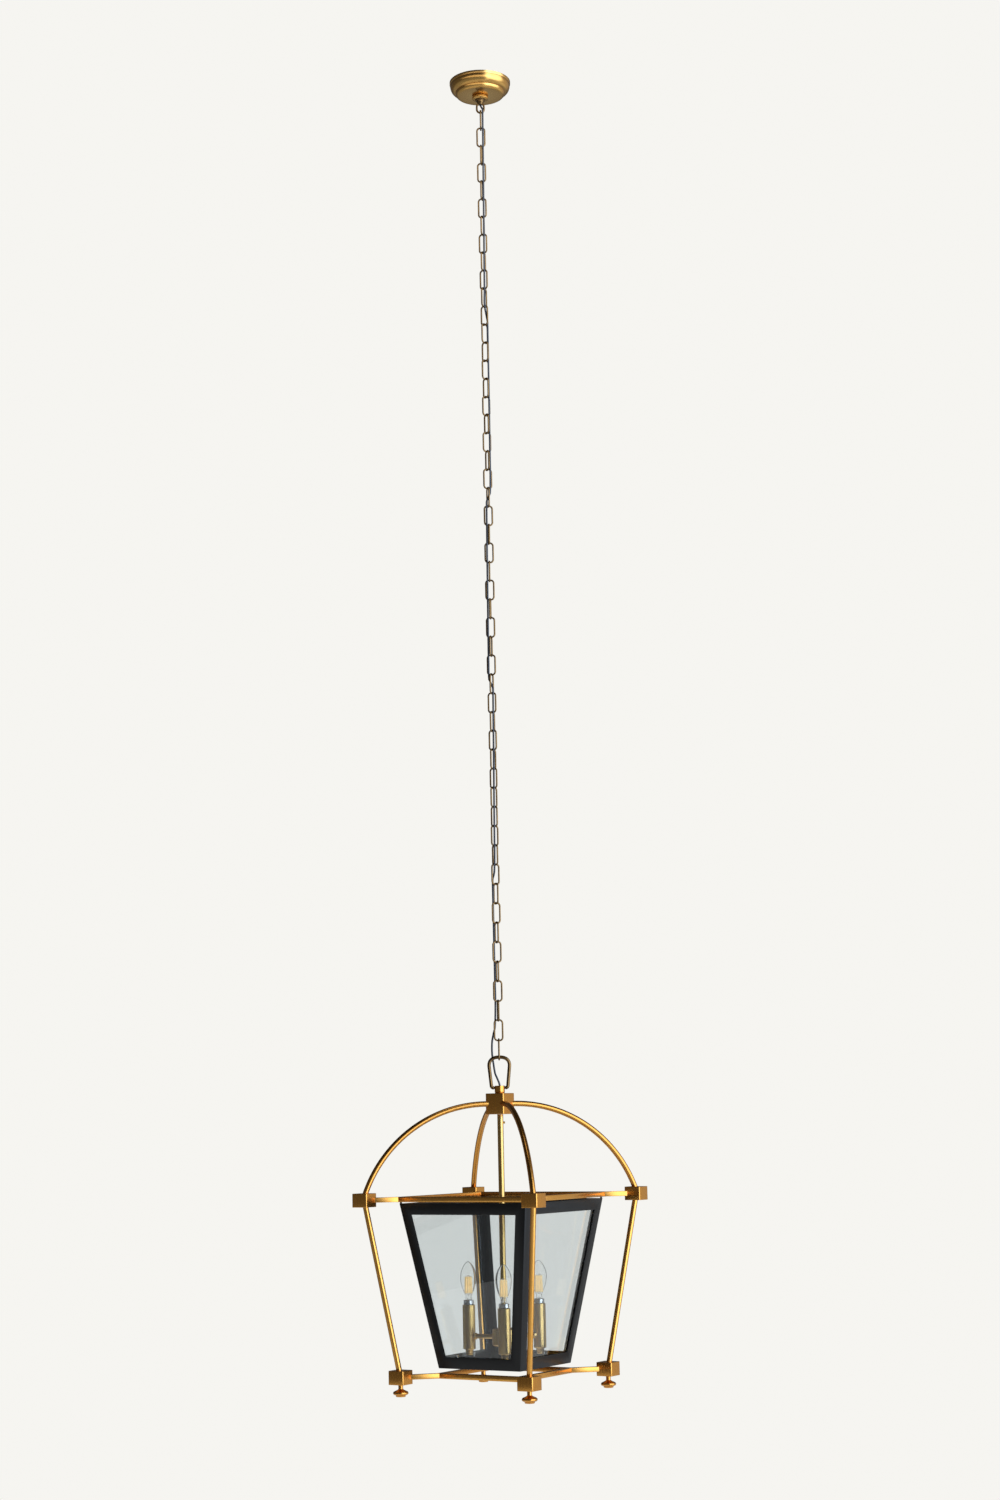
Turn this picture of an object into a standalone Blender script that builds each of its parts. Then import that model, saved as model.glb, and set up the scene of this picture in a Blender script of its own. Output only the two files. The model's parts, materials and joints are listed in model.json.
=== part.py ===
# Hanging lantern: ceiling canopy, long chain with its cord, brass cage and a tapered
# glass box around three candle lights. Metres, +Z up, origin at the ceiling plane.

import math

import bmesh
import bpy
from mathutils import Matrix, Vector

MM = 0.001
HALF_TURN = math.pi

# Fits and clearances
touch_gap = 0.3 * MM            # between two pieces that rest on each other
socket_clearance = 0.3 * MM     # around a rod in the hole that takes it
socket_end_gap = 0.5 * MM       # between a rod's end and the floor of its hole
link_weld = 1.0 * MM            # how far fused chain links sink into each other
cord_clearance = 0.5 * MM       # around the cord in a hole

# Directions: the hanging pieces are turned from the cage's sides about the vertical
hanging_turn = math.radians(33.0)
cluster_turn = math.radians(33.0)

# Ceiling fixing
strap_length = 110.0 * MM
strap_width = 22.0 * MM
strap_thickness = 3.0 * MM
strap_screw_spacing = 70.0 * MM
screw_radius = 2.0 * MM
screw_head_radius = 4.0 * MM
screw_head_height = 2.6 * MM
nipple_radius = 5.0 * MM
nipple_bore = 3.2 * MM
lock_nut_radius = 9.5 * MM
lock_nut_height = 5.0 * MM

# Canopy and its screw collar
canopy_radius = 70.0 * MM
canopy_depth = 34.4 * MM
canopy_lip_height = 6.8 * MM
canopy_step = 1.2 * MM          # how far the band stands back from the lip
canopy_groove_radius = 57.0 * MM
canopy_groove_depth = 25.4 * MM
canopy_floor_radius = 48.6 * MM
canopy_wall = 1.0 * MM
collar_radius = 18.5 * MM
collar_height = 8.6 * MM
thread_radius = 11.0 * MM
thread_clearance = 0.5 * MM

# Loop under the canopy
loop_neck_top = 20.0 * MM       # below the ceiling
loop_thread_tail = 3.0 * MM     # thread left showing under the collar
loop_cone_radius = 8.6 * MM
loop_cone_end_radius = 5.2 * MM
loop_cone_height = 8.7 * MM
loop_wire = 4.5 * MM
loop_width = 21.0 * MM
loop_drop = 21.5 * MM           # from the cone's end to the outside of the loop's bottom

# Chain
link_count = 51
link_length = 49.3 * MM
link_width = 21.5 * MM
link_wire = 3.8 * MM
link_corner = 7.0 * MM
chain_twist = -math.pi          # over the whole chain
run_starts = (1, 2, 18, 35, 51)  # first link of each run; every run is one piece

# Cord
cord_radius = 2.1 * MM
cord_offset = 6.8 * MM          # from the chain's centre line
cord_inset = 3.0 * MM           # nearer by this where it goes through a link
cord_through_links = (12, 22, 32, 42)
cord_crossing = 0.30            # half the length of a crossing, in links

# Stirrup that carries the lantern, and the neck that it turns in
stirrup_rod = 7.5 * MM
stirrup_width = 52.0 * MM
stirrup_height = 69.7 * MM      # outside of the top down to the pins
stirrup_foot_width = 43.5 * MM
stirrup_crown = 22.2 * MM       # outside of the top down to the widest place
stirrup_squareness = 2.4
stirrup_pin_radius = 2.8 * MM
stirrup_pin_tip = 6.6 * MM      # from the centre line
neck_radius = 11.0 * MM
neck_height = 16.0 * MM
neck_pin_height = 11.7 * MM
neck_bore_depth = 14.0 * MM

# Cage
top_block_side = 46.0 * MM
top_block_height = 45.0 * MM
dome_rise = 198.7 * MM          # top block's centre above the upper corner blocks'
cage_height = 370.7 * MM        # between the two levels of corner blocks
cage_top_side = 425.0 * MM      # between corner block centres
cage_bottom_side = 321.2 * MM
corner_block_side = 38.0 * MM
corner_block_height = 29.0 * MM
rod_radius = 6.0 * MM
rod_socket_depth = 8.0 * MM
arc_inset = 2.8 * MM            # dome rod's foot, in from the corner block's centre
ring_bar = 11.0 * MM
top_ring_inset = 47.5 * MM      # ring's outer side in from the line between block centres
bottom_ring_inset = 54.6 * MM
ring_arm_side = 10.6 * MM        # square, a little under the ring's bar
ring_arm_socket = 7.0 * MM

# Feet
foot_stem_radius = 5.0 * MM
foot_stem_height = 8.0 * MM
foot_stem_socket = 5.5 * MM
foot_radius = 16.3 * MM
foot_height = 17.5 * MM

# Glass box
box_gap_top = 3.0 * MM          # under the upper ring
box_gap_bottom = 10.0 * MM      # over the lower ring
box_top_inset = 6.1 * MM        # box's outer side in from the ring's
box_bottom_inset = 3.8 * MM
frame_wall = 2.5 * MM
frame_leg = 24.0 * MM
frame_flange = 14.0 * MM
stud_radius = 2.3 * MM
glass_thickness = 3.0 * MM
glass_overlap = 8.0 * MM
tab_width = 8.0 * MM
tab_thickness = 1.2 * MM
tab_grip = 6.0 * MM
tab_root = 4.0 * MM
tab_spacing = 0.32              # of the pane's lower width, to each side of its middle

# Stem, hub and candle arms
stem_radius = 6.5 * MM
stem_screw_radius = 2.4 * MM
stem_screw_length = 3.6 * MM
stem_screw_drop = 18.0 * MM
hub_radius = 26.0 * MM
hub_height = 36.0 * MM
hub_chamfer = 2.5 * MM
hub_rise = 75.5 * MM            # hub's centre over the lower corner blocks'
arm_count = 3
arm_radius = 5.0 * MM
cuff_radius = 7.0 * MM
cuff_length = 5.0 * MM
candle_circle = 86.8 * MM

# Candles
sleeve_radius = 13.5 * MM
sleeve_wall = 1.0 * MM
sleeve_length = 93.5 * MM
sleeve_rise = 65.7 * MM         # sleeve's top above the arm
sleeve_floor = 2.5 * MM
cap_radius = 8.5 * MM
cap_height = 12.5 * MM
socket_radius = 12.0 * MM
socket_recess = 3.0 * MM        # socket's top below the sleeve's
bulb_base_radius = 6.9 * MM
bulb_base_clearance = 0.4 * MM
bulb_base_depth = 20.0 * MM
bulb_collar = 9.4 * MM          # metal showing over the sleeve
bulb_radius = 17.5 * MM
bulb_length = 83.0 * MM

# Places worked out from the sizes
collar_top = -canopy_depth - touch_gap
collar_bottom = collar_top - collar_height
thread_end = collar_bottom - loop_thread_tail
cone_end = thread_end - loop_cone_height
loop_bottom = cone_end - loop_drop
loop_bar = loop_bottom + loop_wire / 2
link_span = link_length - link_wire

side_signs = ((1, -1), (1, 1), (-1, 1), (-1, -1))
corner_names = ("front", "right", "back", "left")
round_sides = 20
rod_steps = 2                   # bevel resolution of the rods
wire_steps = 0                  # and of the chain's wire


def link_places():
    """Height of each link's upper bar, from the canopy loop down."""
    tops = [loop_bar + (loop_wire + link_wire) / 2 + touch_gap]
    for number in range(2, link_count + 1):
        hangs_free = number in run_starts
        bars_apart = link_wire + touch_gap if hangs_free else link_wire - link_weld
        tops.append(tops[-1] - link_span + bars_apart)
    return tops


link_tops = link_places()
last_bar = link_tops[-1] - link_span
stirrup_bar = last_bar + (link_wire + stirrup_rod) / 2 + touch_gap
stirrup_top = stirrup_bar + stirrup_rod / 2
pin_level = stirrup_top - stirrup_height
block_top = pin_level - neck_pin_height - touch_gap
block_level = block_top - top_block_height / 2
upper_level = block_level - dome_rise
lower_level = upper_level - cage_height
box_top = upper_level - ring_bar / 2 - box_gap_top
box_bottom = lower_level + ring_bar / 2 + box_gap_bottom
top_ring_side = cage_top_side - 2 * top_ring_inset
bottom_ring_side = cage_bottom_side - 2 * bottom_ring_inset
box_top_side = top_ring_side - 2 * box_top_inset
box_bottom_side = bottom_ring_side - 2 * box_bottom_inset
box_tilt = math.atan2((box_top_side - box_bottom_side) / 2, box_top - box_bottom)
hub_level = lower_level + hub_rise
sleeve_top = hub_level + sleeve_rise
sleeve_bottom = sleeve_top - sleeve_length


def clear_scene():
    for thing in list(bpy.data.objects):
        bpy.data.objects.remove(thing, do_unlink=True)


def new_collection(name, hidden=False):
    collection = bpy.data.collections.new(name)
    bpy.context.scene.collection.children.link(collection)
    collection.hide_render = hidden
    return collection


def new_material(name, colour, roughness, metallic, alpha=1.0):
    material = bpy.data.materials.new(name)
    material.use_nodes = True
    shader = material.node_tree.nodes["Principled BSDF"]
    shader.inputs["Base Color"].default_value = (*colour, 1.0)
    shader.inputs["Roughness"].default_value = roughness
    shader.inputs["Metallic"].default_value = metallic
    shader.inputs["Alpha"].default_value = alpha
    material.diffuse_color = (*colour, alpha)
    return material


def add_object(name, data, material=None, parent=None, matrix=None):
    thing = bpy.data.objects.new(name, data)
    parts.objects.link(thing)
    if material:
        data.materials.append(material)
    thing.parent = parent
    if matrix is not None:
        thing.matrix_local = matrix
    return thing


def add_empty(name, place, turn=0.0, parent=None):
    empty = bpy.data.objects.new(name, None)
    parts.objects.link(empty)
    empty.empty_display_size = 0.02
    empty.parent = parent
    empty.location = place
    empty.rotation_euler.z = turn
    return empty


def hang(name, height, turn, holder, hung):
    """An empty on a joint's axis, which carries pieces that keep their places."""
    pivot = add_empty(name, (0.0, 0.0, height), turn)
    bpy.context.view_layer.update()
    places = {piece: bpy.data.objects[piece].matrix_world.copy() for piece in hung}
    if holder:
        own_place = pivot.matrix_world.copy()
        pivot.parent = holder
        pivot.matrix_world = own_place
        bpy.context.view_layer.update()
    for piece, place in places.items():
        bpy.data.objects[piece].parent = pivot
        bpy.data.objects[piece].matrix_world = place
    return pivot


def as_cutter(thing):
    """Keep a helper solid out of the part: it only cuts or joins."""
    parts.objects.unlink(thing)
    cutters.objects.link(thing)
    thing.hide_render = True
    thing.display_type = "WIRE"
    return thing


def combine(thing, tool, operation):
    modifier = thing.modifiers.new(tool.name, "BOOLEAN")
    modifier.operation = operation
    modifier.solver = "EXACT"
    modifier.object = tool


def mesh_from(bm, name, smooth=False):
    mesh = bpy.data.meshes.new(name)
    bm.to_mesh(mesh)
    bm.free()
    if smooth:
        mesh.shade_smooth()
        mesh.set_sharp_from_angle(angle=math.radians(35.0))
    return mesh


def box_mesh(name, size, centre=(0.0, 0.0, 0.0)):
    bm = bmesh.new()
    placed = Matrix.Translation(centre) @ Matrix.Diagonal((*size, 1.0))
    bmesh.ops.create_cube(bm, size=1.0, matrix=placed)
    return mesh_from(bm, name)


def frustum_mesh(name, lower_half, upper_half, low, high):
    """Square frustum with its sides along X and Y."""
    bm = bmesh.new()
    placed = Matrix.Translation((0.0, 0.0, (low + high) / 2)) @ Matrix.Rotation(HALF_TURN / 4, 4, "Z")
    bmesh.ops.create_cone(bm, cap_ends=True, segments=4, radius1=lower_half * math.sqrt(2),
                          radius2=upper_half * math.sqrt(2), depth=high - low, matrix=placed)
    return mesh_from(bm, name)


def cylinder_between(name, start, end, radius, sides=round_sides):
    start = Vector(start)
    along = Vector(end) - start
    placed = Matrix.Translation(start + along / 2) @ along.to_track_quat("Z", "Y").to_matrix().to_4x4()
    bm = bmesh.new()
    bmesh.ops.create_cone(bm, cap_ends=True, segments=sides, radius1=radius, radius2=radius,
                          depth=along.length, matrix=placed)
    return mesh_from(bm, name, smooth=True)


def bar_between(name, start, end, side):
    """A square bar with two of its faces level."""
    start = Vector(start)
    along = Vector(end) - start
    placed = Matrix.Translation(start + along / 2) @ along.to_track_quat("Z", "Y").to_matrix().to_4x4()
    bm = bmesh.new()
    bmesh.ops.create_cube(bm, size=1.0, matrix=placed @ Matrix.Diagonal((side, side, along.length, 1.0)))
    return mesh_from(bm, name)


def joined_mesh(name, meshes):
    """One mesh that holds several separate solids."""
    bm = bmesh.new()
    for mesh in meshes:
        bm.from_mesh(mesh)
        bpy.data.meshes.remove(mesh)
    return mesh_from(bm, name, smooth=True)


def turned(name, profile, material, place, sides=round_sides, closed=False, parent=None):
    """A profile of (radius, height) points, down its outer side, turned about Z."""
    mesh = bpy.data.meshes.new(name)
    points = [(radius, 0.0, height) for radius, height in profile]
    edges = [(index, index + 1) for index in range(len(points) - 1)]
    if closed:
        edges.append((len(points) - 1, 0))
    mesh.from_pydata(points, edges, [])
    thing = add_object(name, mesh, material, parent, Matrix.Translation(place))
    screw = thing.modifiers.new("turn", "SCREW")
    screw.steps = sides
    screw.render_steps = sides
    screw.use_merge_vertices = True
    screw.merge_threshold = 0.00001
    screw.use_smooth_shade = True
    screw.use_normal_calculate = False
    return thing


def tube(name, points, radius, material=None, cyclic=False, steps=rod_steps, parent=None, thinning=None):
    """A round rod along the points; thinning scales its radius point by point."""
    curve = bpy.data.curves.new(name, "CURVE")
    curve.dimensions = "3D"
    curve.bevel_depth = radius
    curve.bevel_resolution = steps
    curve.use_fill_caps = True
    spline = curve.splines.new("POLY")
    spline.points.add(len(points) - 1)
    for index, point in enumerate(points):
        spline.points[index].co = (*point, 1.0)
        if thinning:
            spline.points[index].radius = thinning[index]
    spline.use_cyclic_u = cyclic
    return add_object(name, curve, material, parent)


def curve_to_mesh(thing):
    """Swap a curve object for the welded mesh of the same shape."""
    bpy.context.view_layer.update()
    evaluated = thing.evaluated_get(bpy.context.evaluated_depsgraph_get())
    mesh = bpy.data.meshes.new_from_object(evaluated)
    bm = bmesh.new()
    bm.from_mesh(mesh)
    bmesh.ops.remove_doubles(bm, verts=bm.verts, dist=0.000001)
    bm.to_mesh(mesh)
    bm.free()
    name = thing.name
    world = thing.matrix_world.copy()
    bpy.data.objects.remove(thing, do_unlink=True)
    swapped = add_object(name, mesh)
    swapped.matrix_world = world
    return swapped


def outline_mesh(name, outline, thickness):
    """A flat outline in the XY plane, thickened to both sides."""
    curve = bpy.data.curves.new(name, "CURVE")
    curve.dimensions = "2D"
    curve.fill_mode = "BOTH"
    curve.extrude = thickness / 2
    spline = curve.splines.new("POLY")
    spline.points.add(len(outline) - 1)
    for point, corner in zip(spline.points, outline):
        point.co = (*corner, 0.0, 1.0)
    spline.use_cyclic_u = True
    flat = curve_to_mesh(add_object(name, curve))
    mesh = flat.data
    bpy.data.objects.remove(flat, do_unlink=True)
    return mesh


def finish_mesh(mesh, name, material, matrix=None, parent=None):
    mesh.name = name
    mesh.materials.clear()
    return add_object(name, mesh, material, parent, matrix)


# ---- ceiling fixing -------------------------------------------------------------

def make_fixing():
    screw_hole = screw_radius + socket_clearance
    strap_middle = (0.0, 0.0, -strap_thickness / 2)
    strap_size = (strap_length, strap_width, strap_thickness)
    strap = add_object("mounting_strap", box_mesh("mounting_strap", strap_size, strap_middle), steel)
    below = -strap_thickness - touch_gap
    holes = [cylinder_between("hole", (0, 0, 1 * MM), (0, 0, 2 * below), nipple_radius + socket_clearance)]
    for sign in (-1, 1):
        x = sign * strap_screw_spacing / 2
        holes.append(cylinder_between("hole", (x, 0, 1 * MM), (x, 0, 2 * below), screw_hole))
        head = below - screw_head_height
        profile = [(0, 0), (screw_radius, 0), (screw_radius, below), (screw_head_radius, below),
                   (screw_head_radius, head + 0.6 * MM), (screw_head_radius - 0.6 * MM, head), (0, head)]
        name = "strap_screw_1" if sign < 0 else "strap_screw_2"
        turned(name, profile, steel, (x, 0, 0), sides=14)
    combine(strap, as_cutter(add_object("strap_holes", joined_mesh("strap_holes", holes))), "DIFFERENCE")

    nipple_end = -loop_neck_top - 10.0 * MM
    pipe = [(nipple_radius, 0), (nipple_radius, nipple_end), (nipple_bore, nipple_end), (nipple_bore, 0)]
    turned("threaded_nipple", pipe, steel, (0, 0, 0), sides=14, closed=True)

    nut_top = below
    nut_bottom = nut_top - lock_nut_height
    nut = add_object("lock_nut", cylinder_between("lock_nut", (0, 0, nut_bottom), (0, 0, nut_top),
                                                  lock_nut_radius, sides=6), steel)
    bore = cylinder_between("nut_bore", (0, 0, nut_bottom - MM), (0, 0, nut_top + MM),
                            nipple_radius + socket_clearance)
    combine(nut, as_cutter(add_object("nut_bore", bore)), "DIFFERENCE")


def make_canopy():
    band = canopy_radius - canopy_step
    lip = canopy_lip_height
    groove = canopy_groove_radius
    depth = canopy_depth
    hole = thread_radius + thread_clearance
    profile = [(canopy_radius, 0.0), (canopy_radius, -lip + 0.8 * MM), (band, -lip)]
    shoulder_start = lip + 2.4 * MM
    # The band rolls in to the groove, and a second roll runs down to the flat floor.
    for start, end, top, bottom in ((band, groove, shoulder_start, canopy_groove_depth),
                                    (groove - 0.4 * MM, canopy_floor_radius, canopy_groove_depth + 1.6 * MM,
                                     depth)):
        for step in range(5):
            angle = HALF_TURN / 2 * step / 4
            radius = end + (start - end) * math.cos(angle)
            height = -top - (bottom - top) * math.sin(angle)
            profile.append((radius, height))
    profile.append((hole, -depth))
    canopy = turned("canopy", profile, brass, (0, 0, 0), sides=26)
    shell = canopy.modifiers.new("sheet", "SOLIDIFY")
    shell.thickness = canopy_wall
    shell.offset = -1.0

    collar_bore = thread_radius + thread_clearance
    rim = 1.2 * MM
    ring = [(collar_radius - rim, 0), (collar_radius, -rim), (collar_radius, -collar_height + rim),
            (collar_radius - rim, -collar_height), (collar_bore, -collar_height), (collar_bore, 0)]
    turned("canopy_collar", ring, brass, (0, 0, collar_top), sides=24, closed=True)


def make_canopy_loop():
    cord_hole = cord_radius + cord_clearance
    nipple_hole = nipple_radius + socket_clearance
    nipple_floor = -loop_neck_top - 10.0 * MM - socket_end_gap
    profile = [(thread_radius, -loop_neck_top), (thread_radius, thread_end), (loop_cone_radius, thread_end),
               (loop_cone_end_radius, cone_end), (cord_hole, cone_end), (cord_hole, nipple_floor),
               (nipple_hole, nipple_floor), (nipple_hole, -loop_neck_top)]
    neck = turned("canopy_loop", profile, brass, (0, 0, 0), sides=16, closed=True, parent=hanging)

    half_width = (loop_width - loop_wire) / 2
    upper = cone_end + loop_wire * 0.7
    points = []
    for step in range(10):
        angle = 2 * HALF_TURN * (step + 0.5) / 10
        centre = upper - half_width if math.sin(angle) > 0 else loop_bar + half_width
        points.append((half_width * math.cos(angle), 0.0, centre + half_width * math.sin(angle)))
    ring = tube("canopy_loop_ring", points, loop_wire / 2, cyclic=True, steps=1, parent=hanging)
    ring = curve_to_mesh(ring)
    bore = cylinder_between("canopy_loop_bore", (0, 0, cone_end - loop_wire), (0, 0, thread_end), cord_hole, 12)
    combine(neck, as_cutter(ring), "UNION")
    combine(neck, as_cutter(add_object("canopy_loop_bore", bore)), "DIFFERENCE")


# ---- chain and cord --------------------------------------------------------------

def link_angle(number):
    """Direction of a link's plane about Z: each is square to the last, with the twist."""
    square = HALF_TURN / 2 if number % 2 else 0.0
    return square + chain_twist * (number - 1) / (link_count - 1)


def link_outline():
    """Centre line of one link in its own plane, from its upper bar's centre."""
    half_width = (link_width - link_wire) / 2
    points = []
    for corner, (sign_x, at_bottom) in enumerate(((1, False), (-1, False), (-1, True), (1, True))):
        level = -link_span + link_corner if at_bottom else -link_corner
        for step in range(2):
            angle = HALF_TURN / 2 * (corner + 0.06 + 0.88 * step)
            points.append((sign_x * (half_width - link_corner) + link_corner * math.cos(angle),
                           level + link_corner * math.sin(angle)))
    return points


def link_mesh(number):
    turn = link_angle(number)
    top = link_tops[number - 1]
    points = [(x * math.cos(turn), x * math.sin(turn), top + z) for x, z in link_outline()]
    link = curve_to_mesh(tube("link", points, link_wire / 2, cyclic=True, steps=wire_steps))
    mesh = link.data
    bpy.data.objects.remove(link, do_unlink=True)
    return mesh


def make_chain():
    names = ("top_link", "chain_upper", "chain_middle", "chain_lower", "bottom_link")
    ends = run_starts[1:] + (link_count + 1,)
    for name, first, end in zip(names, run_starts, ends):
        base = joined_mesh(name, [link_mesh(number) for number in range(first, end, 2)])
        run = finish_mesh(base, name, brass, parent=hanging)
        between = [link_mesh(number) for number in range(first + 1, end, 2)]
        if between:
            others = add_object(name + "_between", joined_mesh(name + "_between", between), parent=hanging)
            combine(run, as_cutter(others), "UNION")


def chain_place(height):
    """How many links down the chain a height is; link 1's middle is at 1."""
    middles = [top - link_span / 2 for top in link_tops]
    if height >= middles[0]:
        return 1 - (height - middles[0]) / (middles[0] - middles[1])
    for index in range(link_count - 1):
        if height >= middles[index + 1]:
            return index + 1 + (middles[index] - height) / (middles[index] - middles[index + 1])
    return link_count + (middles[-1] - height) / (middles[-2] - middles[-1])


def smooth(amount):
    amount = min(1.0, max(0.0, amount))
    return amount * amount * (3 - 2 * amount)


def cord_beside_chain(height):
    """The cord lies between two link planes, and now and then goes through a link."""
    place = chain_place(height)
    side = -1.0
    nearer = 0.0
    for index, number in enumerate(cord_through_links):
        crossing = smooth((place - number) / (2 * cord_crossing) + 0.5)
        side += 2.0 * crossing if index % 2 == 0 else -2.0 * crossing
        nearer += 4 * crossing * (1 - crossing)
    angle = chain_twist * (place - 1) / (link_count - 1) + side * HALF_TURN / 4
    offset = cord_offset - cord_inset * nearer
    return (offset * math.cos(angle), offset * math.sin(angle), height)


def cord_route():
    start = -6.0 * MM
    leave_neck = cone_end + 0.5 * MM
    beside = loop_bar + 5.0 * MM
    route = [(0.0, 0.0, start), (0.0, 0.0, (start + leave_neck) / 2), (0.0, 0.0, leave_neck)]
    for step in range(1, 6):
        share = step / 6
        height = leave_neck + (beside - leave_neck) * share
        x, y, _ = cord_beside_chain(beside)
        route.append((x * smooth(share), y * smooth(share), height))
    # Down the chain: long steps where the cord runs straight, short ones through a link.
    place = chain_place(beside)
    last_place = link_count - 2.0
    while place < last_place:
        index = min(link_count, max(1, int(place)))
        middle = link_tops[index - 1] - link_span / 2
        pitch = link_span - link_wire + link_weld
        route.append(cord_beside_chain(middle - (place - index) * pitch))
        near = min(abs(place - number) for number in cord_through_links)
        place += 0.12 if near < cord_crossing + 0.06 else 0.85
    # It bows out past the stirrup's crown, behind its rod, and drops into the neck.
    crown = stirrup_bar
    mouth = pin_level + neck_height - neck_pin_height
    behind = (stirrup_rod / 2 + cord_radius) + 0.8 * MM
    route += [(-7.6 * MM, 5.2 * MM, crown + 66.0 * MM), (-11.4 * MM, 5.6 * MM, crown + 50.0 * MM),
              (-14.2 * MM, 5.9 * MM, crown + 36.0 * MM), (-15.2 * MM, 6.3 * MM, crown + 22.0 * MM),
              (-15.0 * MM, behind, crown + 9.0 * MM), (-14.2 * MM, behind, crown - 2.0 * MM),
              (-12.6 * MM, behind - 0.6 * MM, crown - 13.0 * MM), (-9.4 * MM, 4.2 * MM, mouth + 27.0 * MM),
              (-5.4 * MM, 2.2 * MM, mouth + 17.0 * MM), (-2.2 * MM, 0.8 * MM, mouth + 9.0 * MM),
              (-0.5 * MM, 0.1 * MM, mouth + 4.0 * MM), (0.0, 0.0, mouth),
              (0.0, 0.0, mouth - neck_bore_depth + socket_end_gap * 2)]
    return route


def make_cord():
    tube("power_cord", cord_route(), cord_radius, cord_black, steps=rod_steps, parent=hanging)


# ---- stirrup, neck and top block ---------------------------------------------------

def stirrup_line():
    """Centre line and thickness of one half of the stirrup, pin tip to crown."""
    half = (stirrup_width - stirrup_rod) / 2
    foot = (stirrup_foot_width - stirrup_rod) / 2
    thin = stirrup_pin_radius / (stirrup_rod / 2)
    crown_height = stirrup_crown - stirrup_rod / 2
    line = [(stirrup_pin_tip, pin_level, thin), (foot - 5.5 * MM, pin_level, thin),
            (foot - 3.6 * MM, pin_level + 0.1 * MM, 1.0), (foot - 1.0 * MM, pin_level + 1.4 * MM, 1.0),
            (foot, pin_level + 4.2 * MM, 1.0)]
    steps = 7
    for step in range(steps):
        angle = HALF_TURN / 2 * step / (steps - 1)
        power = 2 / stirrup_squareness
        x = half * max(0.0, math.cos(angle)) ** power
        z = stirrup_top - stirrup_crown + crown_height * math.sin(angle) ** power
        line.append((x, z, 1.0))
    return line


def make_stirrup():
    half = stirrup_line()
    whole = half + [(-x, z, thin) for x, z, thin in reversed(half[:-1])]
    points = [(x, 0.0, z) for x, z, _ in whole]
    tube("lantern_loop", points, stirrup_rod / 2, brass, steps=rod_steps, parent=hanging,
         thinning=[thin for _, _, thin in whole])


def make_neck():
    bottom = pin_level - neck_pin_height
    top = bottom + neck_height
    edge = 0.6 * MM
    bore = cord_radius + cord_clearance
    floor = top - neck_bore_depth
    profile = [(bore, top), (neck_radius - edge, top), (neck_radius, top - edge), (neck_radius, bottom),
               (0, bottom)]
    profile = [(0, floor), (bore, floor)] + profile
    neck = turned("neck_block", profile, brass, (0, 0, 0), parent=hanging)
    hole = stirrup_pin_radius + socket_clearance
    tip = stirrup_pin_tip - socket_end_gap
    holes = [cylinder_between("pin_hole", (sign * tip, 0, pin_level), (sign * 2 * neck_radius, 0, pin_level),
                              hole, 12) for sign in (-1, 1)]
    pin_holes = add_object("neck_pin_holes", joined_mesh("neck_pin_holes", holes), parent=hanging)
    combine(neck, as_cutter(pin_holes), "DIFFERENCE")


def diagonal(signs, distance, height):
    """A point on a corner's diagonal, at a distance from the centre line."""
    return Vector((signs[0] * distance / math.sqrt(2), signs[1] * distance / math.sqrt(2), height))


def make_top_block():
    edge = top_block_side / math.sqrt(2)
    size = (top_block_side, top_block_side, top_block_height)
    block = add_object("top_block", box_mesh("top_block", size, (0, 0, block_level)), brass)
    floor = edge - rod_socket_depth - socket_end_gap
    sockets = [cylinder_between("socket", diagonal(signs, floor, block_level),
                                diagonal(signs, 2 * edge, block_level), rod_radius + socket_clearance, 12)
               for signs in side_signs]
    combine(block, as_cutter(add_object("top_block_sockets", joined_mesh("top_block_sockets", sockets))),
            "DIFFERENCE")


# ---- cage ----------------------------------------------------------------------------

upper_reach = cage_top_side / math.sqrt(2)
lower_reach = cage_bottom_side / math.sqrt(2)
arc_start = top_block_side / math.sqrt(2)
upper_face = upper_level + corner_block_height / 2
arc_across = upper_reach - arc_inset - arc_start
arc_down = block_level - upper_face
arc_radius = (arc_across ** 2 + arc_down ** 2) / (2 * arc_down)


def arc_angle(height):
    return math.acos((height - block_level + arc_radius) / arc_radius)


def arc_point(angle):
    """Distance from the centre line and height of a point on the dome rod."""
    return (arc_start + arc_radius * math.sin(angle), block_level - arc_radius * (1 - math.cos(angle)))


def make_arcs():
    last = arc_angle(upper_face)
    end = arc_point(arc_angle(upper_face - rod_socket_depth))
    steps = 12
    for signs, corner in zip(side_signs, corner_names):
        points = [diagonal(signs, arc_start - rod_socket_depth, block_level)]
        points += [diagonal(signs, *arc_point(last * step / steps)) for step in range(steps + 1)]
        points.append(diagonal(signs, *end))
        tube("arc_" + corner, points, rod_radius, brass)


def post_point(signs, share):
    top = diagonal(signs, upper_reach, upper_level)
    bottom = diagonal(signs, lower_reach, lower_level)
    return top + (bottom - top) * share


def make_posts():
    inside = (corner_block_height / 2 - rod_socket_depth) / cage_height
    for signs, corner in zip(side_signs, corner_names):
        ends = [post_point(signs, inside), post_point(signs, 1 - inside)]
        tube("post_" + corner, ends, rod_radius, brass)


def corner_block(name, signs, reach, level, sockets):
    size = (corner_block_side, corner_block_side, corner_block_height)
    block = add_object(name, box_mesh(name, size, diagonal(signs, reach, level)), brass)
    tool = add_object(name + "_sockets", joined_mesh(name + "_sockets", sockets))
    combine(block, as_cutter(tool), "DIFFERENCE")


def socket_mesh(entry, floor, radius):
    """A blind hole from well outside the block to just past the rod's end."""
    entry = Vector(entry)
    floor = Vector(floor)
    along = (floor - entry).normalized()
    return cylinder_between("socket", entry - along * 8 * MM, floor + along * socket_end_gap,
                            radius + socket_clearance, 12)


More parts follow.
